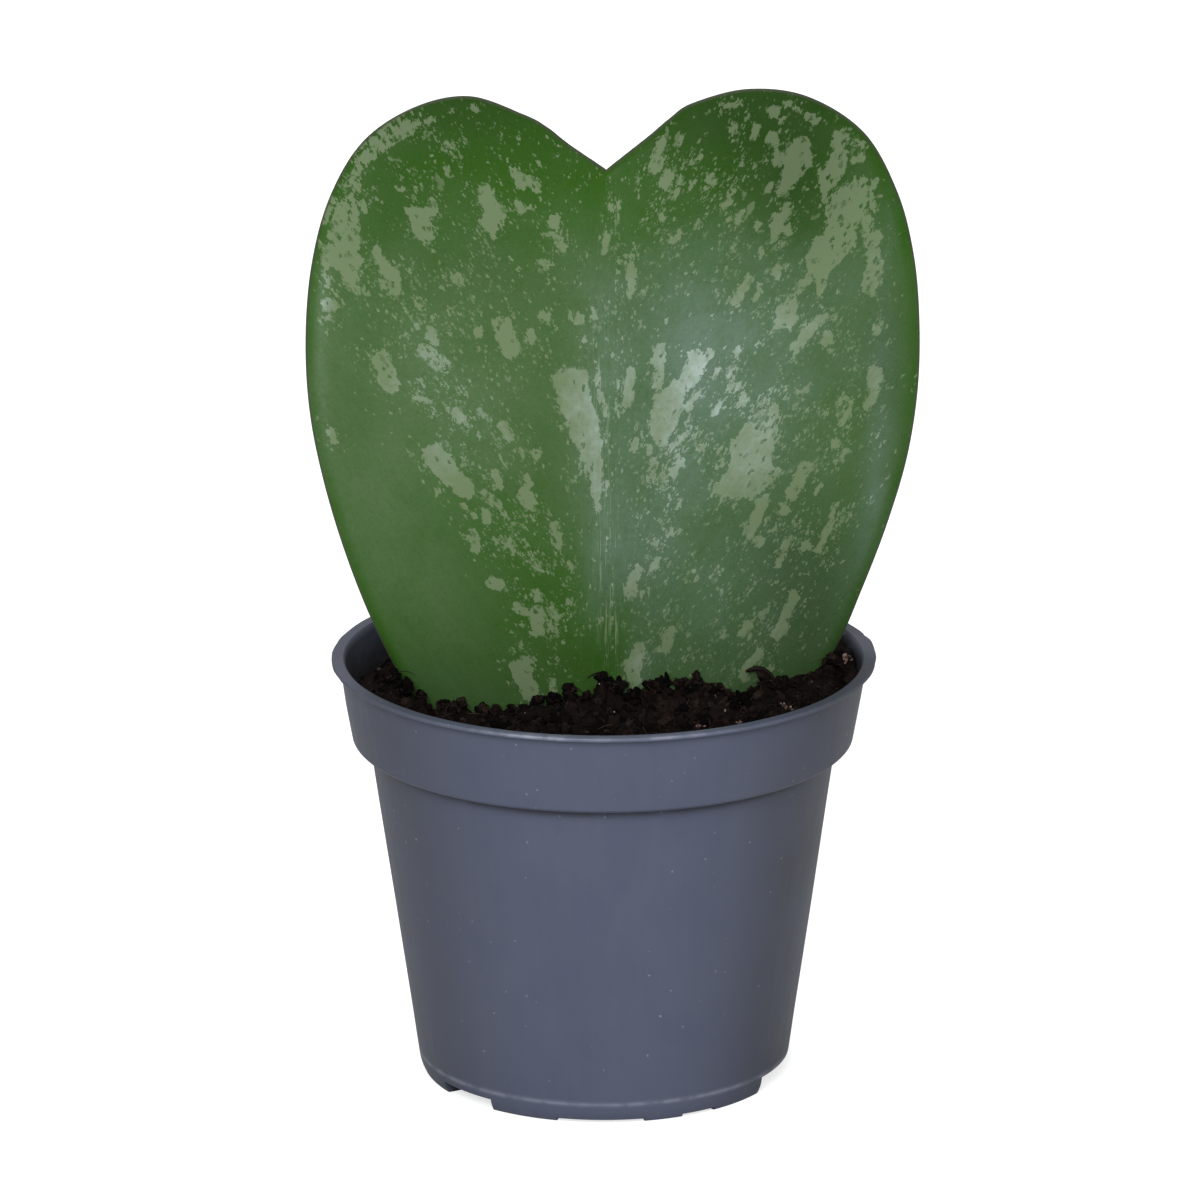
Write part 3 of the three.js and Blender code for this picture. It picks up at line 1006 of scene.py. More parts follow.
    def _back_colour(self, sheet: Sheet, place: Socket) -> Socket:
        """The paler, duller rear of the leaf.

        Args:
            sheet: The material's sheet.
            place: The point on the surface.

        Returns:
            The colour.
        """
        cloudy = sheet.span(sheet.noise(place, 0.10, 4.0, 0.6), 0.3, 0.7, 0.0, 0.6)
        fine = sheet.span(sheet.noise(place, 0.9, 4.0, 0.65), 0.35, 0.7, 0.0, 0.5)
        colour = sheet.blend(sheet.math("ADD", cloudy, fine, clamp=True), self.back, self.pale_back)
        veins = sheet.span(sheet.value("vein"), 0.15, 0.9, 0.0, 0.6)
        return sheet.blend(veins, colour, self.back_vein)


# -------------------- Pot --------------------


@dataclass
class NurseryPot:
    """The injection-moulded pot: chamfered base on low feet, tapering body, collar and thin flat lip."""

    height: float = 71.3
    wall: float = 0.8
    sides: int = 240
    foot_inner_radius: float = 27.4
    foot_radius: float = 30.0
    floor_underside: float = 0.6
    floor_top: float = 1.6
    chamfer_middle: Row = (30.75, 1.5)  # radius and height, as in the next three
    crease: Row = (31.05, 3.5)
    step: Table = ((38.75, 57.3), (41.1, 57.45), (41.55, 57.9))  # of the ledge under the collar
    collar_middle: Row = (42.75, 64.6)
    lip_outer_radius: float = 45.0
    lip_inner_radius: float = 42.8
    lip_thickness: float = 0.7
    lip_rounding: float = 0.3
    drain_depth_radius: float = 25.2
    drain_slot: Row = (18.5, 23.2, 16)  # inner radius, outer radius and width
    gap_reach: Row = (20.0, 35.0)  # inner and outer radius of the cuts between the feet
    # Azimuth of each, from the front towards +X, its width, and a recess's height or a nick's depth.
    drain_recesses: Table = ((-48.4, 22, 2.1), (81, 46, 3.1), (190, 26, 2.6))
    foot_gaps: Table = ((-1, 28), (31.5, 12), (118, 12), (152, 24), (228, 24), (256, 10))
    nicks: Table = ((102, 16, -0.40), (104.8, 2.4, 0.28), (90, 5, -0.12), (-64, 3, 0.2))
    painted_lip_highlights: Table = ((-14, 13, 0.85), (14, 9, 0.55))  # azimuth, width and amount of each painted highlight on the lip
    finest: float = 0.45  # longest stretch of the outer profile
    coarsest: float = 1.5  # longest stretch of the inner one
    sharp_angle: float = 38.0
    waviness: Row = (0.09, 17.0)  # height and grain of the wall's unevenness
    lip_wear: Row = (0.10, 2.2)  # height and grain of the lip's
    wear_and_highlight: Row = (0.04, 0.4)  # how bright the painted highlight, partly rubbed wear, is on the lip's edge and on the crease all round
    unmarked_wall_top: Row = (7.0, 2.5)  # height of the wall's top left free of peat stain and painted shade, on the left and on the right
    painted_side_shade: Row = (0.62, 0.13)  # share of painted shade beside the front, and how much more is on the right
    lean: Table = (  # height, and how far the pot stands towards -X there
        (0.0, 0.23), (12.0, 0.25), (30.0, 0.31), (48.0, 0.43), (64.0, 0.43), (71.3, 0.30),
    )

    def outer_profile(self) -> list[Row]:
        """The pot's outside, from the middle of the floor to the middle above the lip.

        Returns:
            Radius and height of each point.
        """
        lip_under = self.height - self.lip_thickness
        corners = [
            (self.foot_inner_radius, self.floor_underside), (self.foot_inner_radius, 0),
            (self.foot_radius, 0), self.chamfer_middle, self.crease, *self.step, self.collar_middle,
            (self.lip_inner_radius + self.wall, lip_under), (self.lip_outer_radius, lip_under),
            (self.lip_outer_radius, self.height), (self.lip_inner_radius, self.height),
        ]
        lip = self.lip_rounding
        roundings = [0.15, 0.15, 0.3, 0.9, 0.3, 0.15, 0.15, 0.15, 3.0, 0.35, lip, lip]
        centre = (0.0, self.floor_underside)
        curves = rounded([centre, *corners], roundings, 5)[1:]
        return [centre, *finely_divided(curves, self.finest), (0.0, self.height)]

    def inner_profile(self) -> list[Row]:
        """The pot's hollow, from the middle of the floor to above the lip.

        Returns:
            Radius and height of each point.
        """
        inset = self.wall
        corners = [
            (self.foot_radius - inset, self.floor_top), (self.crease[0] - inset, self.crease[1]),
            *[(radius - inset, level + self.wall) for radius, level in self.step],
            (self.collar_middle[0] - inset, self.collar_middle[1]),
            (self.lip_inner_radius, self.height - self.lip_rounding),
        ]
        top, over = self.lip_inner_radius + self.lip_rounding, self.height + 1
        above = [(top, self.height), (self.lip_inner_radius + 0.5, over)]
        centre = (0.0, self.floor_top)
        curves = rounded([centre, *corners, *above], [0.8, 0.7, 0.6, 0.3, 0.3, 3.0], 4)[1:]
        return [centre, *finely_divided([*curves, corners[-1], *above], self.coarsest), (0.0, over)]

    def inner_radius(self, height: float | Array) -> float | Array:
        """The radius of the pot's inner face at a height."""
        radii, levels = zip(*self.inner_profile()[1:-2])
        return np.interp(height, levels, radii)

    def leant(self, height: float | Array) -> float | Array:
        """How far the pot stands towards -X at a height."""
        return np.interp(height, *zip(*self.lean))

    def build(self, finish: Material) -> None:
        """Make the pot and let it stand for its solid.

        Args:
            finish: The plastic.
        """
        pot = make_piece("nursery_pot", *turned(self.outer_profile(), self.sides))
        hollow = make_piece("hollow", *turned(self.inner_profile(), self.sides))
        reach, below = self.lip_outer_radius, -1
        for azimuth, width, height in self.drain_recesses:
            extra = math.degrees(2 * self.wall / self.drain_depth_radius)
            deep = self.drain_depth_radius - self.wall
            grown = (azimuth, width + extra, deep, reach, below, height + self.wall)
            cut_away(hollow, make_piece("cutter", *ring_sector(*grown)))
            recess = (azimuth, width, self.drain_depth_radius, reach, below, height)
            cut_away(pot, make_piece("cutter", *ring_sector(*recess)))
        cut_away(pot, hollow)
        inner, outer, span = self.drain_slot
        for azimuth, _, _ in self.drain_recesses:
            slot = (azimuth, span, inner, outer, below, self.floor_top + 1)
            cut_away(pot, make_piece("cutter", *ring_sector(*slot)))
        for azimuth, width in self.foot_gaps:
            gap = (azimuth, width, *self.gap_reach, below, self.floor_underside)
            cut_away(pot, make_piece("cutter", *ring_sector(*gap)))
        vertices = vertices_of(pot)
        self._mark(pot, vertices)
        move_vertices(pot, self._worn(vertices))
        pot.data.shade_smooth()
        pot.data.set_sharp_from_angle(angle=math.radians(self.sharp_angle))
        pot.data.materials.clear()
        pot.data.materials.append(finish)
        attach(pot, BODY)
        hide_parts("pot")
        LOG.info("pot: %d vertices", len(pot.data.vertices))

    def _mark(self, pot: Piece, vertices: Array) -> None:
        """Store where the lip's edge and the crease get painted highlight, where the sides get painted shade,
        and where peat stain and painted shade darken the inside and under the collar's ledge.

        Args:
            pot: The pot.
            vertices: Its vertices, before they are worn.
        """
        radius, level = np.hypot(vertices[:, 0], vertices[:, 1]), vertices[:, 2]
        azimuth = np.degrees(np.arctan2(vertices[:, 0], -vertices[:, 1]))
        from_crease = np.hypot(radius - self.crease[0], level - self.crease[1])
        from_rim = np.hypot(radius - self.lip_outer_radius, level - self.height)
        # Painted highlight on the lip's edge, strongest towards the front, and on the crease.
        lip_highlight_share = self.wear_and_highlight[0] + sum(
            amount * np.exp(-(((azimuth - middle) / width) ** 2)) for middle, width, amount in self.painted_lip_highlights
        )
        lip = lip_highlight_share * smoothstep(0.62, 0.1, from_rim)
        add_values(pot, "edge", self.wear_and_highlight[1] * smoothstep(0.45, 0.12, from_crease) + lip)
        # Inside, peat stain and painted shade darken the wall below its top.
        inside = radius < self.inner_radius(level) + 0.3
        left, right = self.unmarked_wall_top
        unmarked = left - (left - right) * smoothstep(30, 80, azimuth)
        peat = inside * smoothstep(self.height - 0.3, self.height - unmarked, level)
        # Painted shade on the sides away from the front, more on the right.
        sideways, forwards = vertices[:, 0] / radius.clip(1), -vertices[:, 1] / radius.clip(1)
        beside = smoothstep(0.97, 0.5, forwards) * smoothstep(-0.9, -0.1, forwards)
        add_values(pot, "painted_side_shade", (self.painted_side_shade[0] + self.painted_side_shade[1] * sideways) * beside)
        # Painted shadow on the body just under the collar's ledge.
        ledge, ledge_level = self.step[0]
        under_ledge_shadow = (radius < ledge + 0.8) * ~inside * smoothstep(1.5, 0.2, np.abs(level - ledge_level + 0.4))
        add_values(pot, "peat_stain_and_shade", np.clip(0.9 * peat + 0.7 * under_ledge_shadow, 0, 1))

    def _worn(self, vertices: Array) -> Array:
        """Make the wall a little uneven, and nick the lip where its edge is torn.

        Args:
            vertices: The pot's vertices.

        Returns:
            The moved vertices.
        """
        radius = np.hypot(vertices[:, 0], vertices[:, 1])
        azimuth = np.degrees(np.arctan2(vertices[:, 0], -vertices[:, 1]))
        round_about = vertices * (1, 1, 0.35)
        height, grain = self.waviness
        push = height * layered_noise(round_about, grain, 2, 5) * smoothstep(4, 12, vertices[:, 2])
        on_lip = smoothstep(self.lip_inner_radius + 1.2, self.lip_outer_radius, radius)
        on_lip = on_lip * (vertices[:, 2] > self.height - 1.2)
        height, grain = self.lip_wear
        push += on_lip * height * lattice_noise(round_about, grain, 9)
        for middle, width, depth in self.nicks:
            push -= on_lip * depth * np.exp(-(((azimuth - middle) / (width / 2)) ** 2))
        scale = 1 + push / np.maximum(radius, 1)
        moved = vertices * np.column_stack([scale, scale, np.ones(len(scale))])
        return moved - np.outer(self.leant(vertices[:, 2]), (1, 0, 0))


# -------------------- Leaf --------------------


def along_and_aside(pixels: Array, x: float, y: float, lean: float) -> tuple[Array, Array]:
    """Distances of the photograph's pixels from a point, in a frame that leans right at its top.

    Args:
        pixels: Columns and rows.
        x: The point's column.
        y: The point's row.
        lean: Lean of the frame.

    Returns:
        The distances along the lean, upwards, and aside from it.
    """
    across, up = pixels[:, 0] - x, y - pixels[:, 1]
    lean = math.radians(lean)
    return across * math.sin(lean) + up * math.cos(lean), across * math.cos(lean) - up * math.sin(lean)


@dataclass(frozen=True)
class Splash:
    """One silver splash, read off the photograph, in its pixels."""

    x: float
    y: float
    length: float
    width: float
    lean: float  # of its long axis from upright, positive when its top leans right
    cover: float = 1.0  # 1 is solid, less is broken up
    taper: float = 0.0  # 1 is pointed at the bottom, -1 at the top

    def depth_inside(self, pixels: Array) -> Array:
        """How far inside the splash each point is, negative outside, in pixels.

        Args:
            pixels: Columns and rows of the points.

        Returns:
            The distances.
        """
        along, aside = along_and_aside(pixels, self.x, self.y, self.lean)
        reach = max((self.length - self.width) / 2, 0.5)
        share = np.clip(along / reach, -1, 1)
        half = self.width / 2 * (1 + self.taper * share)
        return half - np.hypot(aside, along - share * reach)


@dataclass(frozen=True)
class Blot:
    """One of the large splashes: its outline, read off the photograph, in its pixels."""

    outline: Table
    cover: float = 1.0  # 1 is solid, less is broken up

    def depth_inside(self, pixels: Array) -> Array:
        """How far inside the outline each point is, negative outside, in pixels.

        Args:
            pixels: Columns and rows of the points.

        Returns:
            The distances.
        """
        corners = np.array(self.outline, float)
        nearest = np.full(len(pixels), np.inf)
        inside = np.zeros(len(pixels), bool)
        for start, end in zip(corners, np.roll(corners, -1, axis=0)):
            edge, offset = end - start, pixels - start
            share = np.clip(offset @ edge / (edge @ edge), 0, 1)
            nearest = np.minimum(nearest, np.linalg.norm(offset - share[:, None] * edge, axis=1))
            crosses = (start[1] > pixels[:, 1]) != (end[1] > pixels[:, 1])
            rise = edge[1] if edge[1] else 1e-9
            inside ^= crosses & (pixels[:, 0] < start[0] + edge[0] * (pixels[:, 1] - start[1]) / rise)
        return np.where(inside, nearest, -nearest)


@dataclass(frozen=True)
class Tint:
    """A soft patch of one of the leaf's tones, read off the photograph, in its pixels."""

    x: float
    y: float
    reach: float  # along its long axis
    width: float  # across it
    lean: float
    amount: float

    def strength(self, pixels: Array) -> Array:
        """The tint's amount at each of the photograph's pixels given, fading outwards."""
        along, aside = along_and_aside(pixels, self.x, self.y, self.lean)
        return self.amount * np.exp(-((along / self.reach) ** 2) - (aside / self.width) ** 2)


def rows_of(kind: type, *rows: tuple) -> tuple:
    """One instance of a kind for each row of its values."""
    return tuple(kind(*row) for row in rows)


BLOTS = (
    Blot(((552, 378), (555, 372), (575, 367), (587, 369), (591, 400), (599, 418), (603, 473), (599, 514),
          (594, 505), (588, 464), (578, 460), (580, 450), (571, 439))),
    Blot(((596, 358), (600, 365), (600, 382), (611, 417), (604, 416), (594, 384)), 0.85),
    Blot(((653, 345), (665, 342), (667, 356), (664, 365), (666, 389), (653, 387), (654, 367), (648, 363),
          (653, 358)), 0.95),
    Blot(((654, 394), (666, 389), (676, 378), (684, 384), (685, 395), (677, 428), (663, 449), (649, 434))),
    Blot(((688, 352), (699, 348), (705, 351), (711, 345), (716, 353), (696, 386), (688, 392),
          (679, 379)), 0.82),
    Blot(((748, 418), (777, 401), (782, 417), (779, 424), (781, 435), (771, 456), (771, 466), (778, 466),
          (782, 472), (753, 501), (743, 497), (731, 499), (709, 489), (722, 478), (731, 460),
          (728, 447)), 0.97),
    Blot(((756, 497), (771, 493), (762, 521), (756, 534), (749, 542), (746, 539))),
    Blot(((784, 102), (789, 99), (797, 103), (801, 112), (793, 110), (785, 106))),
    Blot(((801, 113), (809, 111), (821, 118), (814, 127), (808, 124), (804, 119)), 0.93),
    Blot(((794, 140), (808, 134), (813, 163), (780, 200), (777, 197), (783, 169), (780, 155)), 0.97),
    Blot(((832, 131), (843, 129), (852, 135), (846, 141), (848, 169), (822, 201), (816, 167), (822, 170),
          (832, 151)), 0.92),
    Blot(((835, 190), (846, 186), (854, 175), (866, 177), (871, 190), (866, 214), (858, 226), (824, 228),
          (826, 214), (823, 205)), 0.86),
    Blot(((831, 227), (855, 227), (856, 245), (828, 275), (823, 296), (817, 298), (815, 280), (807, 270),
          (805, 258), (813, 243))),
    Blot(((806, 271), (815, 281), (802, 293), (796, 301), (786, 298), (799, 282)), 0.78),
    Blot(((775, 308), (787, 299), (799, 300), (797, 325), (790, 332), (783, 328), (771, 331),
          (776, 322)), 0.93),
    Blot(((833, 308), (835, 313), (821, 324), (803, 348), (789, 349), (803, 327)), 0.93),
    Blot(((880, 220), (884, 237), (880, 247), (886, 272), (877, 300), (860, 292), (868, 243)), 0.70),
    Blot(((783, 203), (788, 200), (794, 205), (776, 242), (768, 245), (773, 214), (780, 214))),
    Blot(((335, 204), (352, 191), (358, 201), (361, 246), (357, 251), (365, 262), (358, 271), (363, 297),
          (348, 291), (338, 272), (331, 268), (326, 272), (320, 264), (320, 252), (325, 246)), 0.82),
    Blot(((331, 293), (336, 299), (340, 309), (332, 312), (322, 310), (321, 300)), 0.9),
    Blot(((377, 242), (384, 257), (401, 274), (400, 300), (392, 294), (394, 285), (379, 272), (379, 263),
          (373, 258), (372, 250)), 0.97),
    Blot(((404, 207), (414, 204), (422, 209), (428, 206), (431, 196), (438, 204), (439, 213), (430, 220),
          (436, 237), (427, 246), (411, 231)), 0.92),
    Blot(((477, 186), (487, 184), (494, 191), (496, 202), (506, 210), (503, 236), (494, 242), (478, 222),
          (484, 213), (478, 203)), 0.90),
)
LEFT_SPLASHES = rows_of(
    Splash,
    (392, 136, 56, 24, 62, 0.40), (425, 122, 24, 7, 80, 0.85), (366, 158, 30, 15, 45, 0.8),
    (354, 175, 34, 12, 38, 0.5), (372, 138, 86, 10, 52, 0.42), (328, 210, 34, 12, 22, 0.5),
    (326, 281, 19, 10, 0, 0.65), (330, 318, 14, 10, 80, 0.6), (383, 283, 16, 11, -20, 0.55),
    (364, 206, 15, 7, -20, 0.85), (519, 179, 28, 11, -30, 0.9), (534, 184, 20, 10, -30, 0.9),
    (554, 222, 14, 12, -20), (560, 242, 25, 9, -32), (520, 208, 16, 8, -28), (544, 263, 17, 8, -60, 0.85),
    (458, 278, 19, 13, -40, 0.6), (451, 149, 24, 7, -32, 0.8), (474, 108, 13, 8, -60, 0.9),
    (544, 316, 14, 11, -50), (579, 319, 14, 9, 15), (584, 337, 13, 8, 0, 0.6),
    (506, 337, 46, 20, -20, 0.93), (432, 336, 21, 10, -22), (416, 326, 15, 7, -20, 0.8),
    (532, 336, 16, 9, -25), (478, 333, 11, 9, 0), (386, 372, 47, 20, -20, 0.85),
    (433, 358, 46, 22, -52, 0.40), (440, 462, 40, 25, -40), (458, 482, 40, 20, -50),
    (458, 416, 18, 11, -38), (506, 431, 22, 11, -25), (482, 413, 15, 9, -60, 0.7), (497, 480, 22, 10, -15),
    (527, 498, 23, 17, -22), (527, 481, 17, 7, -25), (495, 504, 42, 9, -42, 0.75), (486, 516, 18, 9, -12),
    (474, 541, 27, 11, -24), (510, 546, 18, 8, -38), (557, 535, 30, 13, -8, 0.8), (495, 583, 19, 12, -80),
    (538, 596, 15, 11, -15, 0.9), (537, 622, 32, 16, -2, 0.95), (520, 609, 18, 11, -50, 0.9),
    (555, 613, 18, 7, -30, 0.85), (524, 680, 44, 17, -28), (528, 663, 21, 11, -32, 0.9),
    (553, 686, 20, 12, -10, 0.6), (333, 436, 18, 9, -16), (536, 453, 14, 10, -20, 0.9),
    (520, 452, 16, 8, -40, 0.7), (535, 563, 30, 9, -35, 0.55), (469, 511, 24, 8, -48, 0.65),
    (422, 400, 24, 9, -75, 0.6), (570, 566, 16, 8, -22, 0.7),
)
MIDDLE_SPLASHES = rows_of(
    Splash,
    (583, 470, 14, 6, 0), (604, 441, 16, 5, 0, 0.85), (594, 330, 20, 5, -8, 0.7), (604, 484, 20, 5, 0, 0.7),
    (606, 244, 24, 8, 12, 0.9), (611, 208, 14, 11, 0, 0.6), (629, 387, 40, 10, 5),
    (635, 445, 17, 9, 5, 0.95), (631, 273, 42, 13, -6, 0.65), (645, 292, 15, 10, 20, 0.6),
    (617, 392, 26, 4, 5, 0.6),
)
UPPER_RIGHT_SPLASHES = rows_of(
    Splash,
    (659, 155, 36, 13, 12, 1.0, -0.2), (681, 141, 18, 7, 20, 0.7), (667, 180, 21, 12, 20),
    (674, 194, 21, 10, 30, 0.7), (696, 160, 20, 8, 50, 0.65), (711, 179, 15, 11, 10, 0.9),
    (732, 105, 23, 10, 78, 0.62), (774, 112, 13, 12, 0), (773, 139, 14, 14, 0), (755, 132, 21, 9, 15, 0.85),
    (733, 129, 15, 12, 30, 0.75), (776, 159, 18, 7, 8), (859, 145, 20, 15, -40, 0.5),
    (853, 161, 10, 9, 0, 0.9), (862, 157, 16, 13, 0, 0.45), (868, 230, 40, 17, -5, 0.52),
    (872, 200, 34, 10, -8, 0.5), (828, 339, 19, 12, 20), (794, 355, 14, 8, 30, 0.85),
    (876, 331, 13, 10, 0, 0.9), (742, 291, 35, 10, 32), (758, 293, 20, 7, 22, 0.85), (777, 272, 17, 8, 15),
    (788, 267, 10, 8, 30, 0.9), (789, 229, 17, 7, 5, 0.85), (770, 188, 12, 8, 40),
    (759, 226, 17, 12, 0, 0.65), (740, 217, 16, 7, 25), (729, 198, 27, 11, 28, 0.68), (676, 237, 16, 7, 38),
    (661, 218, 10, 9, 0, 0.9), (760, 253, 14, 7, 40, 0.85),
)
LOWER_RIGHT_SPLASHES = rows_of(
    Splash,
    (693, 401, 28, 8, 35), (716, 373, 15, 7, 30, 0.9), (731, 378, 32, 13, 8, 0.62),
    (737, 352, 14, 7, 5, 0.9), (716, 409, 16, 8, 30, 0.9), (722, 402, 14, 9, 40, 0.55),
    (743, 400, 18, 9, 25), (763, 402, 15, 6, 50, 0.9), (691, 431, 16, 6, 40, 0.9),
    (693, 438, 15, 6, 40, 0.85), (680, 440, 14, 6, 40, 0.9), (700, 447, 17, 8, 25, 0.9),
    (677, 468, 24, 10, 40, 0.8), (649, 450, 13, 8, 10, 0.8), (652, 471, 32, 14, 10, 0.5),
    (662, 477, 23, 9, 25, 0.62), (720, 463, 19, 12, 60, 0.6), (760, 541, 14, 7, 15),
    (799, 480, 44, 14, 26, 0.88), (785, 509, 13, 12, 60), (805, 546, 16, 11, 50, 0.9),
    (786, 543, 19, 8, 35, 0.85), (780, 560, 19, 8, 32, 0.85), (832, 515, 19, 7, 5, 0.8),
    (824, 538, 34, 9, 28, 0.8), (836, 444, 13, 10, 60, 0.9), (842, 456, 21, 8, 48, 0.75),
    (875, 378, 26, 17, -10, 0.95), (871, 400, 24, 9, 24), (655, 564, 19, 8, 32, 0.85),
    (633, 582, 36, 10, 18), (641, 595, 13, 7, 10, 0.75), (697, 579, 16, 9, 45, 0.55),
    (790, 605, 32, 12, 25, 0.9), (780, 630, 23, 14, 40), (745, 630, 18, 10, 42), (668, 640, 30, 11, 22),
    (637, 658, 32, 14, 16), (634, 677, 38, 13, -20), (753, 660, 32, 9, 38), (744, 675, 14, 9, 10),
    (671, 531, 14, 8, 35, 0.8), (818, 489, 15, 7, 30, 0.65), (845, 412, 40, 22, 0, 0.38),
)
# Patches of painted sheen, partly waxy bloom.
BLOOM_AND_SHEEN_TINTS = rows_of(
    Tint,
    (420, 390, 140, 110, 0, 0.22), (325, 330, 110, 30, 0, 0.17), (480, 430, 130, 44, -35, 0.15),
    (690, 392, 95, 48, 12, 0.63), (765, 385, 110, 48, 22, 0.30), (657, 300, 60, 56, 0, 0.34),
    (745, 300, 60, 60, 0, 0.16), (600, 385, 90, 34, 0, 0.46), (601, 532, 88, 25, 0, 0.50),
    (752, 455, 30, 25, 0, 0.10), (572, 400, 40, 14, 0, 0.14), (650, 520, 70, 34, 20, 0.26),
    (690, 570, 80, 60, 0, 0.34), (800, 460, 100, 50, 10, 0.17), (845, 335, 70, 35, 0, 0.21),
    (715, 650, 40, 70, 0, 0.12), (880, 440, 170, 14, 3, 0.42), (790, 610, 70, 60, 0, 0.18),
    (860, 540, 80, 16, 18, 0.18), (322, 390, 130, 8, 0, 0.26), (400, 580, 90, 60, -20, 0.17),
    (780, 250, 40, 50, 0, 0.10), (455, 655, 40, 70, 0, 0.12), (380, 470, 50, 60, 0, 0.09),
    (565, 270, 60, 40, 0, 0.12), (870, 225, 50, 26, 0, 0.14), (638, 665, 30, 17, 0, 0.36),
    (515, 350, 60, 40, 0, 0.08), (745, 350, 50, 40, 0, 0.20), (313, 370, 90, 9, 4, 0.34),
)
VIVID_TINTS = rows_of(
    Tint,
    (460, 120, 70, 120, 0, 1.0), (610, 205, 60, 50, 0, 0.65), (745, 130, 80, 120, 0, 0.95),
    (820, 210, 50, 50, 0, 0.5), (388, 600, 80, 38, -22, 0.40), (400, 200, 60, 60, 0, 0.5),
    (540, 590, 70, 50, 0, 0.55), (606, 650, 50, 24, 0, 0.6), (450, 500, 50, 40, -30, 0.50),
    (500, 660, 50, 90, 0, 0.35), (895, 200, 70, 20, -10, 0.6), (710, 250, 50, 50, 0, 0.30),
    (680, 150, 50, 50, 0, 0.35), (530, 160, 50, 60, 0, 0.35), (515, 215, 60, 60, 0, 0.40),
    (515, 525, 50, 40, 0, 0.40), (588, 600, 80, 32, 0, 0.60), (614, 470, 90, 7, -2, 0.6),
    (608, 645, 40, 10, 0, 0.9), (866, 600, 60, 12, 22, 0.6), (360, 280, 70, 70, 0, 0.25),
)
SHADE_TINTS = rows_of(
    Tint,
    (450, 85, 72, 160, 0, 0.9), (765, 95, 105, 130, 0, 1.1), (800, 205, 65, 45, 0, 0.48),
    (620, 745, 88, 420, 0, 0.80), (850, 610, 95, 80, 0, 0.40), (890, 200, 80, 20, 0, 0.10),
    (895, 460, 90, 26, 0, 0.18), (770, 550, 70, 60, 0, 0.32), (810, 520, 60, 50, 0, 0.16),
    (640, 590, 40, 50, 0, 0.18), (850, 350, 60, 50, 0, 0.12), (888, 350, 60, 22, 0, 0.2),
    (735, 655, 40, 60, 0, 0.18), (390, 210, 60, 50, 0, 0.22), (485, 235, 60, 50, 0, 0.10),
    (800, 600, 60, 50, 0, 0.30),
)
FLECK_TINTS = rows_of(
    Tint,
    (740, 560, 120, 90, 20, 0.50), (710, 220, 70, 90, 15, 0.72), (730, 150, 60, 90, 0, 0.45),
    (840, 430, 120, 30, 10, 0.85), (480, 310, 90, 90, -20, 0.55), (450, 150, 60, 90, 0, 0.50),
    (500, 500, 110, 40, -35, 0.85), (545, 640, 60, 30, 0, 0.65), (420, 330, 60, 50, -20, 0.50),
    (690, 630, 50, 80, 0, 0.48), (820, 400, 60, 60, 0, 0.5), (660, 470, 60, 40, 20, 0.7),
    (620, 300, 90, 40, 0, 0.5), (370, 240, 60, 40, 0, 0.6),
)
PIT_TINTS = rows_of(
    Tint,
    (768, 428, 36, 24, 20, 0.9), (712, 365, 26, 16, 20, 0.8), (342, 222, 40, 20, 0, 0.5),
    (848, 205, 30, 24, 0, 0.6), (655, 365, 20, 10, 0, 0.4), (845, 240, 12, 22, 0, 0.6),
)
RIB_TINTS = rows_of(
    Tint,
    (600, 400, 60, 9, 0, 0.8), (606, 580, 130, 10, 0, 0.75), (615, 640, 80, 8, 0, 0.95),
)


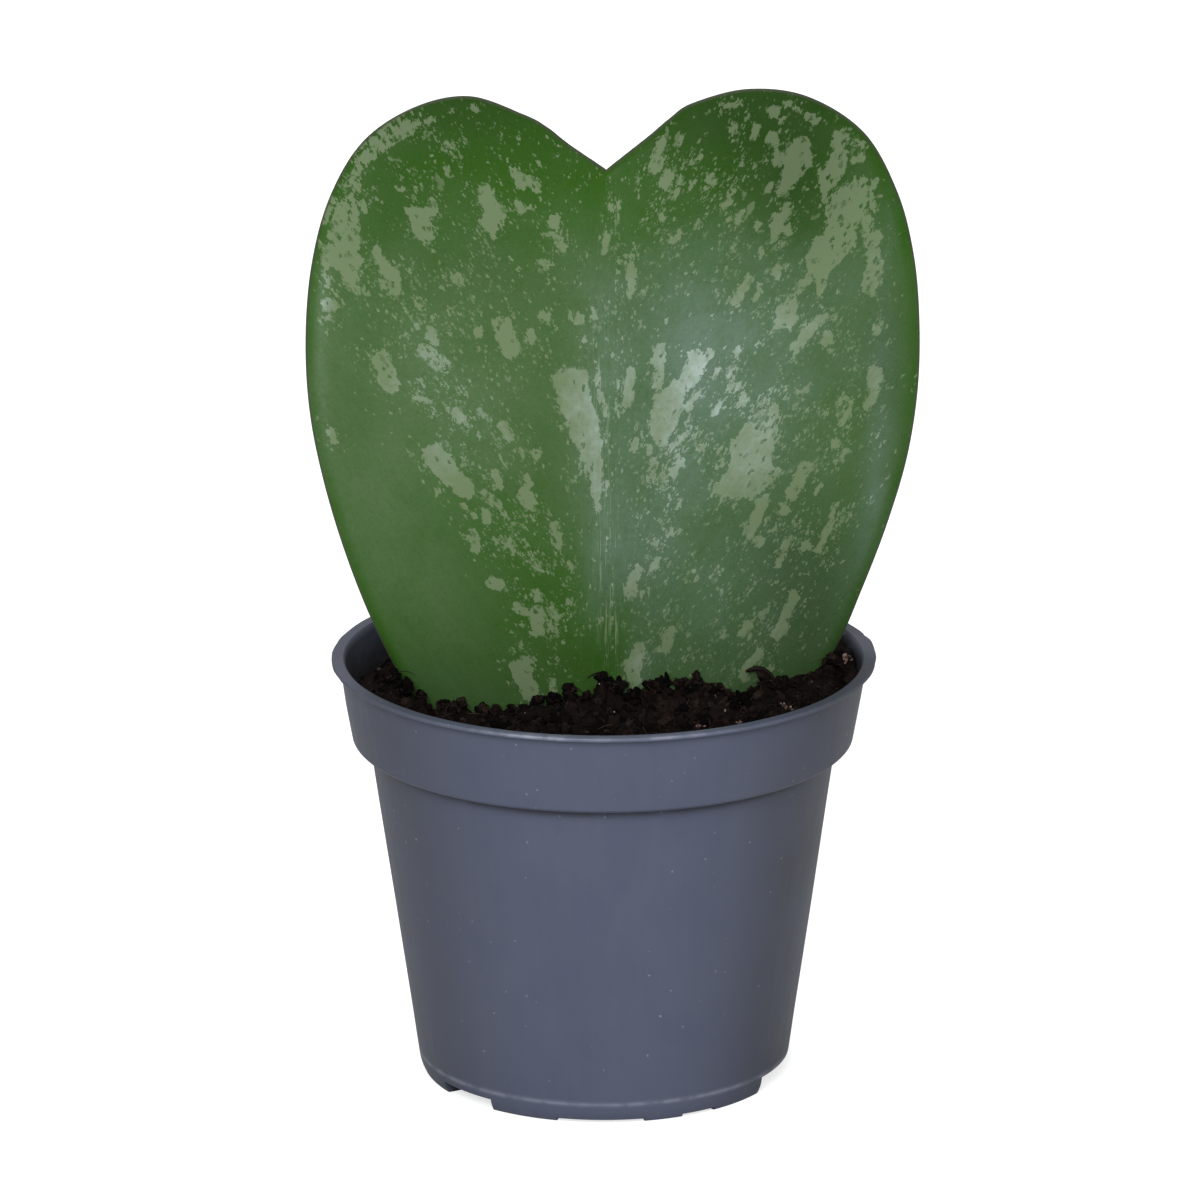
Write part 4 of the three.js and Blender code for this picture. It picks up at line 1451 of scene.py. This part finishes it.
@dataclass
class HoyaLeaf:
    """The heart-shaped leaf: thick, waxy, slightly folded along its midrib, its margins bent back."""

    left_margin: Table = (
        (-2.2, 44.6), (-10.1, 47.6), (-19.0, 52.2), (-26.9, 58.8), (-32.9, 66.9), (-38.2, 77.8),
        (-42.55, 89.5), (-46.1, 102.0), (-48.45, 114.5), (-49.05, 127.0), (-48.0, 139.5), (-45.0, 150.8),
        (-39.45, 160.2), (-31.1, 165.7), (-22.1, 167.3), (-13.3, 163.9), (-9.5, 161.6),
        (-5.8, 158.4), (0.15, 153.9),
    )
    right_margin: Table = (
        (2.2, 44.6), (11.2, 47.6), (21.3, 52.6), (30.6, 60.2), (37.95, 70.2), (42.8, 81.5),
        (46.9, 92.8), (50.0, 104.0), (51.6, 115.5), (51.75, 127.0), (50.7, 138.3), (47.9, 149.0),
        (42.3, 159.2), (33.0, 165.5), (23.2, 167.0), (14.2, 164.8), (10.4, 162.2), (6.9, 159.2),
        (0.15, 153.9),
    )
    midrib_x: float = 0.15
    yaw: float = 0.11
    groove: Row = (1.2, 12.0)  # depth and width of the fold along the midrib
    recurve: Row = (1.6, 2.6)  # how far the left and right margins bend back
    recurve_width: Row = (10.0, 14.0)
    half_thickness: Row = (0.85, 1.35)  # at the margin and in the middle
    thickness_reach: float = 16.0
    rounding: float = 1.3
    stalk_radius: float = 2.2
    stalk_foot: Row = (1.8, 34.0)  # radius and height
    stalk_rows: int = 6
    blend_top: float = 60.0
    rows: int = 300
    columns: int = 112
    rib_crowding: float = 1.3  # of the rows towards the base, where they leave the midrib
    margin_crowding: float = 1.35  # of the columns towards the margins
    margin_steps: int = 40  # in each span of a margin's curve
    outline_points: int = 4000
    vein_lean: float = 31.0
    vein_spacing: float = 5.6
    vein_relief: Row = (0.10, 0.42)  # in front and at the rear
    wave: Row = (0.22, 15.0)  # height and grain of the blade's unevenness
    well_inside: float = 20.0  # an inset past the margins' bend

    def depth(self, x: Array, inset: Array) -> Array:
        """How far back the middle of the blade's thickness lies.

        Args:
            x: Distances across the leaf.
            inset: Distances from the leaf's outline.

        Returns:
            The depths, positive towards the rear.
        """
        across = x - self.midrib_x
        depth, width = self.groove
        side = smoothstep(-width, width, across)
        bend = self.recurve[0] + (self.recurve[1] - self.recurve[0]) * side
        reach = self.recurve_width[0] + (self.recurve_width[1] - self.recurve_width[0]) * side
        fold = depth * (1 - np.exp(-((across / width) ** 2)))
        return self.yaw * across - fold + bend * np.maximum(0, 1 - inset / reach) ** 2

    def blade_depth(self, x: Array) -> Array:
        """How far back the blade lies at distances across it, away from its margins."""
        return self.depth(x, np.full(np.shape(x), self.well_inside))

    def half(self, z: Array, inset: Array) -> Array:
        """Half the blade's thickness, rounded off at the margin and as thick as the stalk at its base.

        Args:
            z: Heights.
            inset: Distances from the leaf's outline.

        Returns:
            The half thicknesses.
        """
        margin, middle = self.half_thickness
        blade = margin + (middle - margin) * smoothstep(0, self.thickness_reach, inset)
        upwards = smoothstep(self.left_margin[0][1], self.blend_top, z)
        full = self.stalk_radius + (blade - self.stalk_radius) * upwards
        rounding = self.stalk_radius + (self.rounding - self.stalk_radius) * upwards
        return full * np.sqrt(1 - (1 - np.minimum(inset / rounding, 1)) ** 2)

    def veins(self, x: Array, z: Array) -> Array:
        """How close each point is to a vein, from 0 to 1.

        Args:
            x: Distances across the leaf.
            z: Heights.

        Returns:
            The shares.
        """
        across = np.abs(x - self.midrib_x)
        rib = np.exp(-((across / 0.9) ** 2)) * smoothstep(150, 60, z)
        lean = math.radians(self.vein_lean)
        rise = z * math.sin(lean) - across * math.cos(lean) * 1.15 + 0.05 * across**1.5
        offset = rise / self.vein_spacing
        side = np.exp(-((np.abs(offset - np.round(offset)) / 0.10) ** 2)) * smoothstep(2, 7, across)
        return np.clip(rib + 0.55 * side * smoothstep(46, 30, across), 0, 1)

    def build(self, finish: Material, camera: PhotoCamera) -> None:
        """Make the leaf and let it stand for its solid.

        Args:
            finish: The leaf's finish.
            camera: The photograph's camera, which the splashes were read through.
        """
        vertices, faces, inset, front = self._body()
        leaf = make_piece("hoya_leaf", vertices, faces)
        pixels = camera.pixels(vertices)
        self._mark(leaf, vertices, inset, front, pixels)
        leaf.data.materials.append(finish)
        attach(leaf, BODY)
        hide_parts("leaf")
        LOG.info("leaf: %d vertices", len(leaf.data.vertices))

    def _grid(self) -> tuple[Array, Array]:
        """The rows of points across the leaf, from the left margin to the right, and the outline.

        Returns:
            The points as rows by columns by x and z, and the outline's points.
        """
        left = spline_through(np.array(self.left_margin), self.margin_steps)
        right = spline_through(np.array(self.right_margin), self.margin_steps)
        foot_radius, foot_level = self.stalk_foot
        base, notch = self.left_margin[0][1], self.left_margin[-1][1]
        share = np.arange(self.stalk_rows) / self.stalk_rows
        stalk_level = foot_level + (base - foot_level) * share
        stalk_radius = foot_radius + (self.stalk_radius - foot_radius) * share
        rise = np.arange(self.rows) / self.rows
        rib_level = base + (notch - base) * rise**self.rib_crowding
        stalk_right, count = np.column_stack([stalk_radius, stalk_level]), self.rows + 1
        left_edge = np.vstack([stalk_right * (-1, 1), evenly_spaced(left, count)[:-1]])
        right_edge = np.vstack([stalk_right, evenly_spaced(right, count)[:-1]])
        blade_rib = np.column_stack([self.midrib_x * rise, rib_level])
        rib = np.vstack([np.column_stack([0 * stalk_level, stalk_level]), blade_rib])
        inner = np.linspace(0, 1, self.columns + 1)
        shares = 1 - (1 - inner) ** self.margin_crowding
        left_points = rib[:, None] + (left_edge - rib)[:, None] * shares[::-1][None, :, None]
        right_points = rib[:, None] + (right_edge - rib)[:, None] * shares[1:][None, :, None]
        foot = np.array([[-foot_radius, foot_level], [foot_radius, foot_level]])
        outline = evenly_spaced(np.vstack([foot[:1], left, right[::-1], foot[1:]]), self.outline_points)
        return np.concatenate([left_points, right_points], axis=1), outline

    def _body(self) -> tuple[Array, Faces, Array, Array]:
        """The closed leaf: its front, its margin and its rear.

        Returns:
            The vertices, the faces, each vertex's distance from the outline, and 1 for those in front.
        """
        grid, outline = self._grid()
        rows, columns, _ = grid.shape
        tree = KDTree(len(outline))
        for index, (x, z) in enumerate(outline):
            tree.insert((x, 0, z), index)
        tree.balance()
        x, z = grid[..., 0].ravel(), grid[..., 1].ravel()
        inset = np.array([tree.find((px, 0, pz))[2] for px, pz in zip(x, z)]).reshape(rows, columns)
        inset[:, [0, -1]] = 0
        x, z = grid[..., 0], grid[..., 1]
        middle = self.depth(x, inset)
        half = self.half(z, inset)
        flat = np.column_stack([x.ravel(), z.ravel()])
        vein = self.veins(x, z)
        away = smoothstep(0, 6, inset)
        wave = self.wave[0] * away * layered_noise(flat, self.wave[1], 2, 31).reshape(rows, columns)
        front_y = middle + wave - half + self.vein_relief[0] * vein * away
        rear_y = middle + wave + half + self.vein_relief[1] * vein * away * smoothstep(0, 10, inset)
        front = np.stack([x, front_y, z], axis=-1)
        rear = np.stack([x, rear_y, z], axis=-1)[:, ::-1][:, 1:-1]
        front[:, [0, -1], 1] = middle[:, [0, -1]]
        rings = np.concatenate([front, rear], axis=1)
        sides = rings.shape[1]
        insets = np.concatenate([inset, inset[:, ::-1][:, 1:-1]], axis=1)
        fronts = np.concatenate([np.ones_like(inset), np.zeros((rows, columns - 2))], axis=1)
        foot = (0, self.depth(np.array(0.0), np.array(self.stalk_foot[0])), self.stalk_foot[1])
        notch_x, notch_z = self.left_margin[-1]
        notch = (notch_x, float(self.depth(np.array(notch_x), np.array(0.0))), notch_z)
        faces = closed_faces(rows, sides)
        vertices = np.vstack([rings.reshape(-1, 3), [foot, notch]])
        return vertices, faces, np.append(insets.ravel(), [0, 0]), np.append(fronts.ravel(), [1, 1])

    def _mark(self, leaf: Piece, vertices: Array, inset: Array, front: Array, pixels: Array) -> None:
        """Store what the finish needs at each vertex.

        Args:
            leaf: The leaf.
            vertices: Its vertices.
            inset: Their distances from the outline.
            front: 1 for those in front, 0 for those at the rear.
            pixels: Where they fall in the photograph.
        """
        across = vertices[:, 0] - self.midrib_x
        off_rib, level = np.abs(across), vertices[:, 2]
        lean = math.radians(self.vein_lean)
        aside = off_rib * math.cos(lean) - level * math.sin(lean) + 300 * np.sign(across)
        along = off_rib * math.sin(lean) + level * math.cos(lean)
        add_values(leaf, "off_rib", off_rib)
        add_values(leaf, "leaning_flow", np.column_stack([aside, along, 0 * along]))
        add_values(leaf, "upright_flow", np.column_stack([across, level, 0 * level]))
        add_values(leaf, "front", front)
        add_values(leaf, "inset", inset)
        add_values(leaf, "vein", self.veins(vertices[:, 0], vertices[:, 2]))
        splash, openness, nearness = self._splashes(pixels)
        add_values(leaf, "splash", splash)
        # The right half's painted sheen is cooler, the left half's warmer.
        add_values(leaf, "cool", smoothstep(-14, 8, across))
        tones = {"bloom_and_sheen": BLOOM_AND_SHEEN_TINTS, "vivid": VIVID_TINTS, "shade": SHADE_TINTS, "flecked": FLECK_TINTS,
                 "ribbed": RIB_TINTS, "pitted": PIT_TINTS}
        margins = smoothstep(2.6, 0.9, inset)
        pits = 2.2 * openness + 0.3 * smoothstep(0, 0.5, layered_noise(vertices, 9, 2, 77))
        added = {"vivid": 0.5 * margins, "flecked": 0.5 * nearness, "pitted": pits}
        kept = {"bloom_and_sheen": 1 - 0.65 * margins}
        for name, tints in tones.items():
            amount = sum(tint.strength(pixels) for tint in tints) * kept.get(name, 1) + added.get(name, 0)
            add_values(leaf, name, np.clip(amount, 0, 1))

    def _splashes(self, pixels: Array) -> tuple[Array, Array, Array]:
        """Where the silver splashes are.

        Args:
            pixels: Where the vertices fall in the photograph.

        Returns:
            How far inside a splash each vertex is, from -1 well outside to 1 well inside, how open that
            splash is, and how near the vertex is to any splash.
        """
        feather, halo = 4.5, 10.0
        found, openness = np.full(len(pixels), -9.0), np.zeros(len(pixels))
        deepest = np.full(len(pixels), -99.0)
        for splash in BLOTS + LEFT_SPLASHES + MIDDLE_SPLASHES + UPPER_RIGHT_SPLASHES + LOWER_RIGHT_SPLASHES:
            depth = splash.depth_inside(pixels)
            deepest = np.maximum(deepest, depth)
            value = np.clip(depth / feather, -1, 1) - 1.1 * (1 - splash.cover)
            openness = np.where(value > found, 1 - splash.cover, openness)
            found = np.maximum(found, value)
        return found, openness, np.exp(-((np.minimum(deepest, 0) / halo) ** 2))


# -------------------- Soil --------------------


@dataclass(frozen=True)
class Crumbs:
    """One kind of crumb: how many, how large, how finely each is shaped, and what it is made of."""

    name: str
    count: int
    least: float
    most: float
    fineness: int
    roughness: float
    sunk: float = 0.3
    narrowest: float = 0.7  # its least width as a share of its size
    clinging: float = 0.0  # share of them that stick to the clods
    matter: Matter = Matter.PEAT


@dataclass
class PottingSoil:
    """Peat that fills the pot, banked up along the leaf, with crumbs, chips, fibres and grains on it."""

    pot: NurseryPot
    leaf: HoyaLeaf
    camera: PhotoCamera
    level: float = 63.2
    lowest: float = 60.4
    back_slope: float = 0.07
    right_rise: Row = (5.4, 14, 40, -17, 7)  # height, x span, y span
    heaps: Table = (  # x, y, height, radius
        (8.5, -9.0, 1.0, 4.2), (-24.5, -9.5, 0.6, 3.2), (-16.0, -14.0, 1.0, 4.0), (-38.0, 5.0, 1.8, 4.4),
        (-20.0, 16.0, 1.6, 6.0), (6.0, 22.0, 2.2, 7.0), (24.0, 20.0, 1.2, 6.0), (-4.0, 34.0, 1.4, 5.0),
        (39.0, 6.0, 1.4, 3.5),
    )
    banked: Table = (  # clods by the leaf: column, row of the top, radius
        (391, 673, 1.0), (407, 687, 0.9), (421, 693, 0.8), (444, 699, 1.0), (460, 701, 0.9), (482, 706, 0.9),
        (496, 707, 0.7), (512, 707, 0.7), (538, 697, 0.8), (553, 695, 0.9), (571, 687, 0.9), (586, 694, 0.8),
        (602, 674, 0.6), (609, 680, 0.8), (618, 687, 0.8), (630, 692, 0.6), (641, 692, 0.8), (651, 681, 0.8),
        (663, 680, 0.9), (680, 680, 0.9), (697, 678, 0.9), (711, 685, 0.8), (720, 686, 0.6), (728, 691, 0.7),
        (741, 695, 0.8), (764, 675, 0.7), (777, 680, 1.0), (795, 681, 0.9), (812, 675, 0.9), (829, 660, 0.9),
    )
    curl: Table = ((746, 670), (754, 667), (763, 668), (771, 674), (776, 684))  # columns and rows
    wood: Table = (  # column, row, spread and number of each heap
        (786, 706, 1.0, 14), (780, 699, 0.8, 5), (714, 698, 0.8, 5), (388, 677, 1.3, 12), (846, 660, 1.7, 16),
        (498, 716, 0.4, 4), (740, 722, 0.5, 5), (700, 727, 0.8, 4), (450, 703, 0.9, 5),
    )
    pale: Table = (  # as in wood
        (488, 714, 0.05, 2), (525, 713, 0, 1), (561, 718, 0.08, 2), (614, 712, 0, 1), (812, 682, 0.1, 2),
        (739, 723, 0.1, 2), (725, 711, 0, 1), (653, 727, 0, 1), (698, 727, 0.1, 2),
    )
    largest_seen: Row = (0.34, 0.20)  # radius of the largest crumb in wood and in pale
    lumps: Table = ((0.7, 3.4, 4, 211), (0.4, 0.9, 2, 223))  # height, grain, layers, seed
    settled: float = 0.35
    fibres: Row = (900, 9, 4)  # how many, steps in each and corners of its section
    fibre_radius: Row = (0.03, 0.08)  # least, and how much more at most
    fibre_step: Row = (0.15, 0.45)
    fibre_room: float = 1.6  # from the middle of the leaf
    fibres_clinging: float = 0.4  # share of them that start on the clods
    curl_radius: float = 0.44
    blade_reach: Row = (36.0, 38.0)  # half the width that crumbs and fibres keep clear by the leaf
    clearance: float = 0.35
    rings: int = 84
    sides: int = 300
    seed: int = 4127
    clods: Crumbs = Crumbs("soil_clods", 120, 0.8, 1.9, 4, 0.85, 0.45)
    crumbs: tuple[Crumbs, ...] = (
        Crumbs("soil_crumbs", 1900, 0.35, 1.0, 3, 1.0, 0.3, 0.45, 0.20),
        Crumbs("soil_bits", 6400, 0.12, 0.40, 2, 0.9, 0.1, 0.3, 0.55),
        Crumbs("soil_dust", 5200, 0.10, 0.28, 1, 0.5, 0.1, 0.5, 0.25),
        Crumbs("bark_chips", 90, 0.2, 0.55, 2, 0.7, 0.1, 0.15, 0.1, Matter.BARK),
        Crumbs("pale_grains", 90, 0.07, 0.18, 2, 0.4, -0.3, 0.7, 0, Matter.PALE),
    )

    def __post_init__(self) -> None:
        """Start the random draws, and find the depths to search and the clods along the leaf."""
        self.draw = np.random.default_rng(self.seed)
        self.depths = np.arange(-38.0, 20.0, 0.1)
        self.mounds = np.array([self._by_leaf(*clod) for clod in self.banked])

    def _by_leaf(self, column: float, top: float, radius: float) -> Row:
        """Place a clod against the front of the leaf.

        Args:
            column: The photograph's column at its middle.
            top: The photograph's row at its top.
            radius: Its radius.

        Returns:
            Its middle, and its radius.
        """
        depth = 0.0
        for _ in range(4):  # the leaf's face depends on the place, and the place on the face
            x, _, high = self.camera.sight_line(column, top, np.array([depth]))[0]
            face = float(self.leaf.blade_depth(np.array(x))) - self.leaf.half_thickness[1]
            depth = face - 0.75 * radius
        return x, depth, high - 0.9 * radius, radius

    def height(self, x: Array, y: Array) -> Array:
        """The soil's height, before its fine lumps.

        Args:
            x: Distances across the pot.
            y: Distances back.

        Returns:
            The heights.
        """
        rise, x_from, x_to, y_from, y_to = self.right_rise
        total = self.level + self.back_slope * y
        total = total + rise * smoothstep(x_from, x_to, x) * smoothstep(y_from, y_to, y)
        for heap_x, heap_y, heap, radius in self.heaps:
            total = total + heap * np.exp(-((x - heap_x) ** 2 + (y - heap_y) ** 2) / radius**2)
        swells = 0.45 * np.sin(0.61 * x + 0.4) * np.cos(0.53 * y)
        ripples = 0.3 * np.sin(1.13 * x - 0.9 * y)
        total = total + swells + ripples
        bank = 0 * total
        for middle_x, middle_y, middle_z, radius in self.mounds:
            back = (y - middle_y) * np.where(y < middle_y, 0.45, 1.0)
            near = np.exp(-((x - middle_x) ** 2 + back**2) / (1.2 + 0.9 * radius) ** 2)
            bank = np.maximum(bank, (middle_z - total) * near)
        return total + bank

    def surface(self, x: Array, y: Array) -> Array:
        """The soil's height with its fine lumps.

        Args:
            x: Distances across the pot.
            y: Distances back.

        Returns:
            The heights.
        """
        flat = np.column_stack([np.ravel(x), np.ravel(y)])
        lumps = sum(high * layered_noise(flat, *noise) for high, *noise in self.lumps)
        return self.height(x, y) + lumps.reshape(np.shape(x)) - self.settled

    def build(self, finishes: dict[Matter, Material]) -> None:
        """Make the soil and what lies on it.

        Args:
            finishes: The finish of each matter.
        """
        self._body(finishes[Matter.PEAT])
        sizes, places = self._drawn(self.clods)
        self.clod_sizes = np.append(sizes, self.mounds[:, 3])
        self.clod_places = np.vstack([places, self.mounds[:, :3]])
        self._lumps(self.clods, self.clod_sizes, self.clod_places, finishes[Matter.PEAT])
        for kind in self.crumbs:
            own, spots = self._drawn(kind)
            self._cling(spots, kind.clinging)
            self._lumps(kind, own, spots, finishes[kind.matter])
        self._fibres(finishes[Matter.FIBRE])
        self._seen("wood_crumbs", self.wood, self.largest_seen[0], finishes[Matter.WOOD])
        self._seen("pale_crumbs", self.pale, self.largest_seen[1], finishes[Matter.PALE])

    def _cling(self, spots: Array, share: float) -> None:
        """Move some of the places onto the clods, at their tops and fronts.

        Args:
            spots: The places, which are changed.
            share: Share of them that moves.
        """
        count = len(spots)
        held = self.draw.random(count) < share
        chosen = self.draw.integers(len(self.clod_sizes), size=count)
        outwards = self.draw.normal(size=(count, 3))
        outwards /= np.linalg.norm(outwards, axis=1)[:, None]
        outwards[:, 1:] = np.abs(outwards[:, 1:]) * (-1, 1)
        spots[held] = (self.clod_places[chosen] + 1.1 * outwards * self.clod_sizes[chosen, None])[held]

    def _finish(self, piece: Piece, finish: Material) -> None:
        """Colour a piece of the soil and let it ride with the pot.

        Args:
            piece: The piece.
            finish: Its material.
        """
        piece.data.materials.append(finish)
        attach(piece, BODY)
        LOG.info("%s: %d vertices", piece.name, len(piece.data.vertices))

    def _body(self, finish: Material) -> None:
        """Make the filled inside of the pot, its top lumpy.

        Args:
            finish: The peat.
        """
        pot, gap = self.pot, self.clearance
        levels = [pot.floor_top + gap, pot.crease[1], 20.0, 40.0, 55.0]
        walls = [(pot.inner_radius(max(level, pot.floor_top + 0.8)) - 2 * gap, level) for level in levels]
        rings = [circle(radius, level, self.sides) for radius, level in walls]
        angles = np.linspace(0, 2 * math.pi, self.sides, endpoint=False)
        edge = pot.inner_radius(self.level) - gap
        rim = self.height(edge * np.cos(angles), edge * np.sin(angles))
        edge = pot.inner_radius(rim) - gap - pot.leant(rim) * np.cos(angles)
        for share in np.linspace(1, 0, self.rings, endpoint=False):
            x, y = share * edge * np.cos(angles), share * edge * np.sin(angles)
            rings.append(np.column_stack([x, y, self.surface(x, y)]))
        centre = [(0, 0, levels[0]), (0, 0, float(self.surface(np.array(0.0), np.array(0.0))))]
        vertices = np.vstack([*rings, centre])
        soil = make_piece("potting_soil", vertices, closed_faces(len(rings), self.sides))
        add_values(soil, "tone", 0.3 + 0.4 * layered_noise(vertices, 5, 3, 17))
        self._finish(soil, finish)
        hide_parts("soil")

    def _places(self, count: int, sizes: Array) -> Array:
        """Draw places on the soil, none of them through the leaf or the pot.

        Args:
            count: Number of places.
            sizes: Radius of what lies at each.

        Returns:
            The places, one a row.
        """
        angle = 2 * math.pi * self.draw.random(count)
        edge = self.pot.inner_radius(self.lowest - 1.4 * sizes) - 0.6 - sizes
        reach = edge * np.sqrt(self.draw.random(count))
        x, y = reach * np.cos(angle), reach * np.sin(angle)
        blade = self.leaf.blade_depth(x)
        room = 1.5 + 0.75 * sizes
        near = (np.abs(y - blade) < room) & (np.abs(x) < self.blade_reach[0])
        y = np.where(near, blade + np.where(y < blade, -1, 1) * room, y)
        return np.column_stack([x, y, self.surface(x, y)])

    def _drawn(self, kind: Crumbs) -> tuple[Array, Array]:
        """Draw the radii of one kind, and the places where they lie sunk a little into the soil.

        Args:
            kind: The kind.

        Returns:
            The radii and the places.
        """
        sizes = kind.least + (kind.most - kind.least) * self.draw.random(kind.count) ** 1.8
        places = self._places(kind.count, sizes)
        places[:, 2] -= kind.sunk * sizes
        return sizes, places

    def _lumps(self, kind: Crumbs, sizes: Array, places: Array, finish: Material) -> None:
        """Make rough lumps of one kind.

        Args:
            kind: The kind.
            sizes: Their radii.
            places: Their middles.
            finish: Their material.
        """
        ball, corners = icosphere(kind.fineness)
        count = len(sizes)
        lumps = []
        for size, place in zip(sizes, places):
            axis = Vector(self.draw.normal(size=3)).normalized()
            turn = np.array(Matrix.Rotation(self.draw.random() * 6.28, 3, axis))
            widths = kind.narrowest + (2 * (1 - kind.narrowest)) * self.draw.random(3)
            lumps.append((ball * widths @ turn.T) * size + place)
        points = np.vstack(lumps)
        outwards = points - np.repeat(places, len(ball), axis=0)
        swell = layered_noise(points, 1.1, 3, 401) + 0.7 * layered_noise(points, 0.35, 2, 419)
        points = points + outwards * np.clip(kind.roughness * swell, -0.7, 0.8)[:, None]
        faces = (corners[None] + (np.arange(count) * len(ball))[:, None, None]).reshape(-1, 3).tolist()
        piece = make_piece(kind.name, points, faces)
        add_values(piece, "tone", np.repeat(self.draw.random(count) ** 2, len(ball)))
        self._finish(piece, finish)

    def _fibres(self, finish: Material) -> None:
        """Lay thin curling fibres on the soil, and one curl of bark against the leaf.

        Args:
            finish: The fibre.
        """
        count, steps, corners = self.fibres
        radii = self.fibre_radius[0] + self.fibre_radius[1] * self.draw.random(count) ** 3
        point = self._places(count, np.full(count, 2.0))
        self._cling(point, self.fibres_clinging)
        side = np.where(point[:, 1] < self.leaf.blade_depth(point[:, 0]), -1, 1)
        heading, turn = 2 * math.pi * self.draw.random(count), 0.3 * self.draw.normal(size=count)
        tilt = 0.7 * self.draw.random(count) - 0.15
        length = self.fibre_step[0] + self.fibre_step[1] * self.draw.random(count)
        lines = []
        for _ in range(steps):
            lines.append(point.copy())
            way = np.column_stack([np.cos(heading), np.sin(heading), tilt])
            point = point + length[:, None] * way
            reach = np.hypot(point[:, 0], point[:, 1])
            point[:, :2] *= np.minimum(1.0, (self.pot.inner_radius(self.lowest) - 1.0) / reach)[:, None]
            blade = self.leaf.blade_depth(point[:, 0])
            beside = np.abs(point[:, 0]) < self.blade_reach[1]
            away = (point[:, 1] - blade) * side
            point[:, 1] = np.where(beside, blade + side * np.maximum(away, self.fibre_room), point[:, 1])
            point[:, 2] = np.maximum(point[:, 2], self.surface(point[:, 0], point[:, 1]) - 0.1)
            heading = heading + turn + 0.3 * self.draw.normal(size=count)
            tilt = tilt - 0.16
        middle = spline_through(np.array([self._by_leaf(*spot, 0.3)[:3] for spot in self.curl]), 2)
        tubes = [self._tube(line, radius, corners) for line, radius in zip(np.stack(lines, axis=1), radii)]
        tubes.append(self._tube(middle, self.curl_radius, corners))
        faces, start = [], 0
        for tube in tubes:
            faces += [tuple(start + i for i in face) for face in band_faces(len(tube) // corners, corners)]
            end = start + len(tube)
            faces += [tuple(range(start, start + corners)), tuple(range(end - corners, end))]
            start = end
        fibres = make_piece("soil_fibres", np.vstack(tubes), faces)
        tones = np.repeat(self.draw.random(count) ** 2, steps * corners)
        add_values(fibres, "tone", np.append(tones, np.full(len(tubes[-1]), 0.1)))
        self._finish(fibres, finish)

    @staticmethod
    def _tube(line: Array, radius: float, corners: int) -> Array:
        """A thin tube along a line.

        Args:
            line: The line's points, one a row.
            radius: The tube's radius, in its middle.
            corners: Corners of its section.

        Returns:
            The vertices, ring by ring.
        """
        along = np.gradient(line, axis=0)
        along /= np.linalg.norm(along, axis=1)[:, None]
        aside = np.cross(along, (0.0, 0.3, 1.0))
        aside /= np.maximum(np.linalg.norm(aside, axis=1), 1e-6)[:, None]
        upright = np.cross(aside, along)
        taper = np.sqrt(np.sin(np.linspace(0.25, math.pi - 0.25, len(line))))[:, None]
        angles = 2 * math.pi * np.arange(corners) / corners
        turns = [aside * math.cos(angle) + upright * math.sin(angle) for angle in angles]
        rings = [line + turn * radius * taper for turn in turns]
        return np.stack(rings, axis=1).reshape(-1, 3)

    def _seen(self, name: str, heaps: Table, largest: float, finish: Material) -> None:
        """Lay the crumbs that the photograph shows, where it shows them.

        Args:
            name: The piece's name.
            heaps: Column, row, spread and number of each little heap.
            largest: Radius of the largest.
            finish: Their material.
        """
        places = []
        for column, row, spread, number in heaps:
            points = self.camera.sight_line(column, row, self.depths)
            under = points[:, 2] < self.surface(points[:, 0], points[:, 1])
            middle = points[int(np.argmax(under))]
            places += [middle + spread * self.draw.normal(size=3) * (0.5, 0.4, 0.3) for _ in range(number)]
        sizes = largest * (0.45 + 0.55 * self.draw.random(len(places)) ** 1.5)
        kind = Crumbs(name, len(places), 0, largest, fineness=2, roughness=0.8, narrowest=0.45)
        self._lumps(kind, sizes, np.array(places), finish)


# -------------------- Assembly --------------------


def main() -> None:
    """Build the studio, the pot, the soil and the leaf."""
    logging.basicConfig(level=logging.INFO, format="%(name)s: %(message)s")
    camera = PhotoCamera()
    camera.build()
    Studio().build()
    effects = Effects()
    pot, leaf = NurseryPot(), HoyaLeaf()
    pot.build(MouldedPlastic().build(effects))
    leaf.build(WaxyLeaf().build(effects), camera)
    earths = (
        Earth(Matter.PEAT, (0.0015, 0.0009, 0.0008), (0.027, 0.0170, 0.0135), (0.85, 1.0), (0.0, 1.15), 0.4,
              dusty=0.3, gloss=Gloss(specular=0.06)),
        Earth(Matter.FIBRE, (0.004, 0.0025, 0.002), (0.065, 0.034, 0.022)),
        Earth(Matter.BARK, (0.006, 0.004, 0.003), (0.034, 0.019, 0.014)),
        Earth(Matter.WOOD, (0.060, 0.034, 0.028), (0.300, 0.190, 0.170)),
        Earth(Matter.PALE, (0.17, 0.13, 0.11), (0.36, 0.30, 0.27)),
    )
    PottingSoil(pot, leaf, camera).build({earth.matter: earth.build(effects) for earth in earths})


if __name__ == "__main__":
    main()
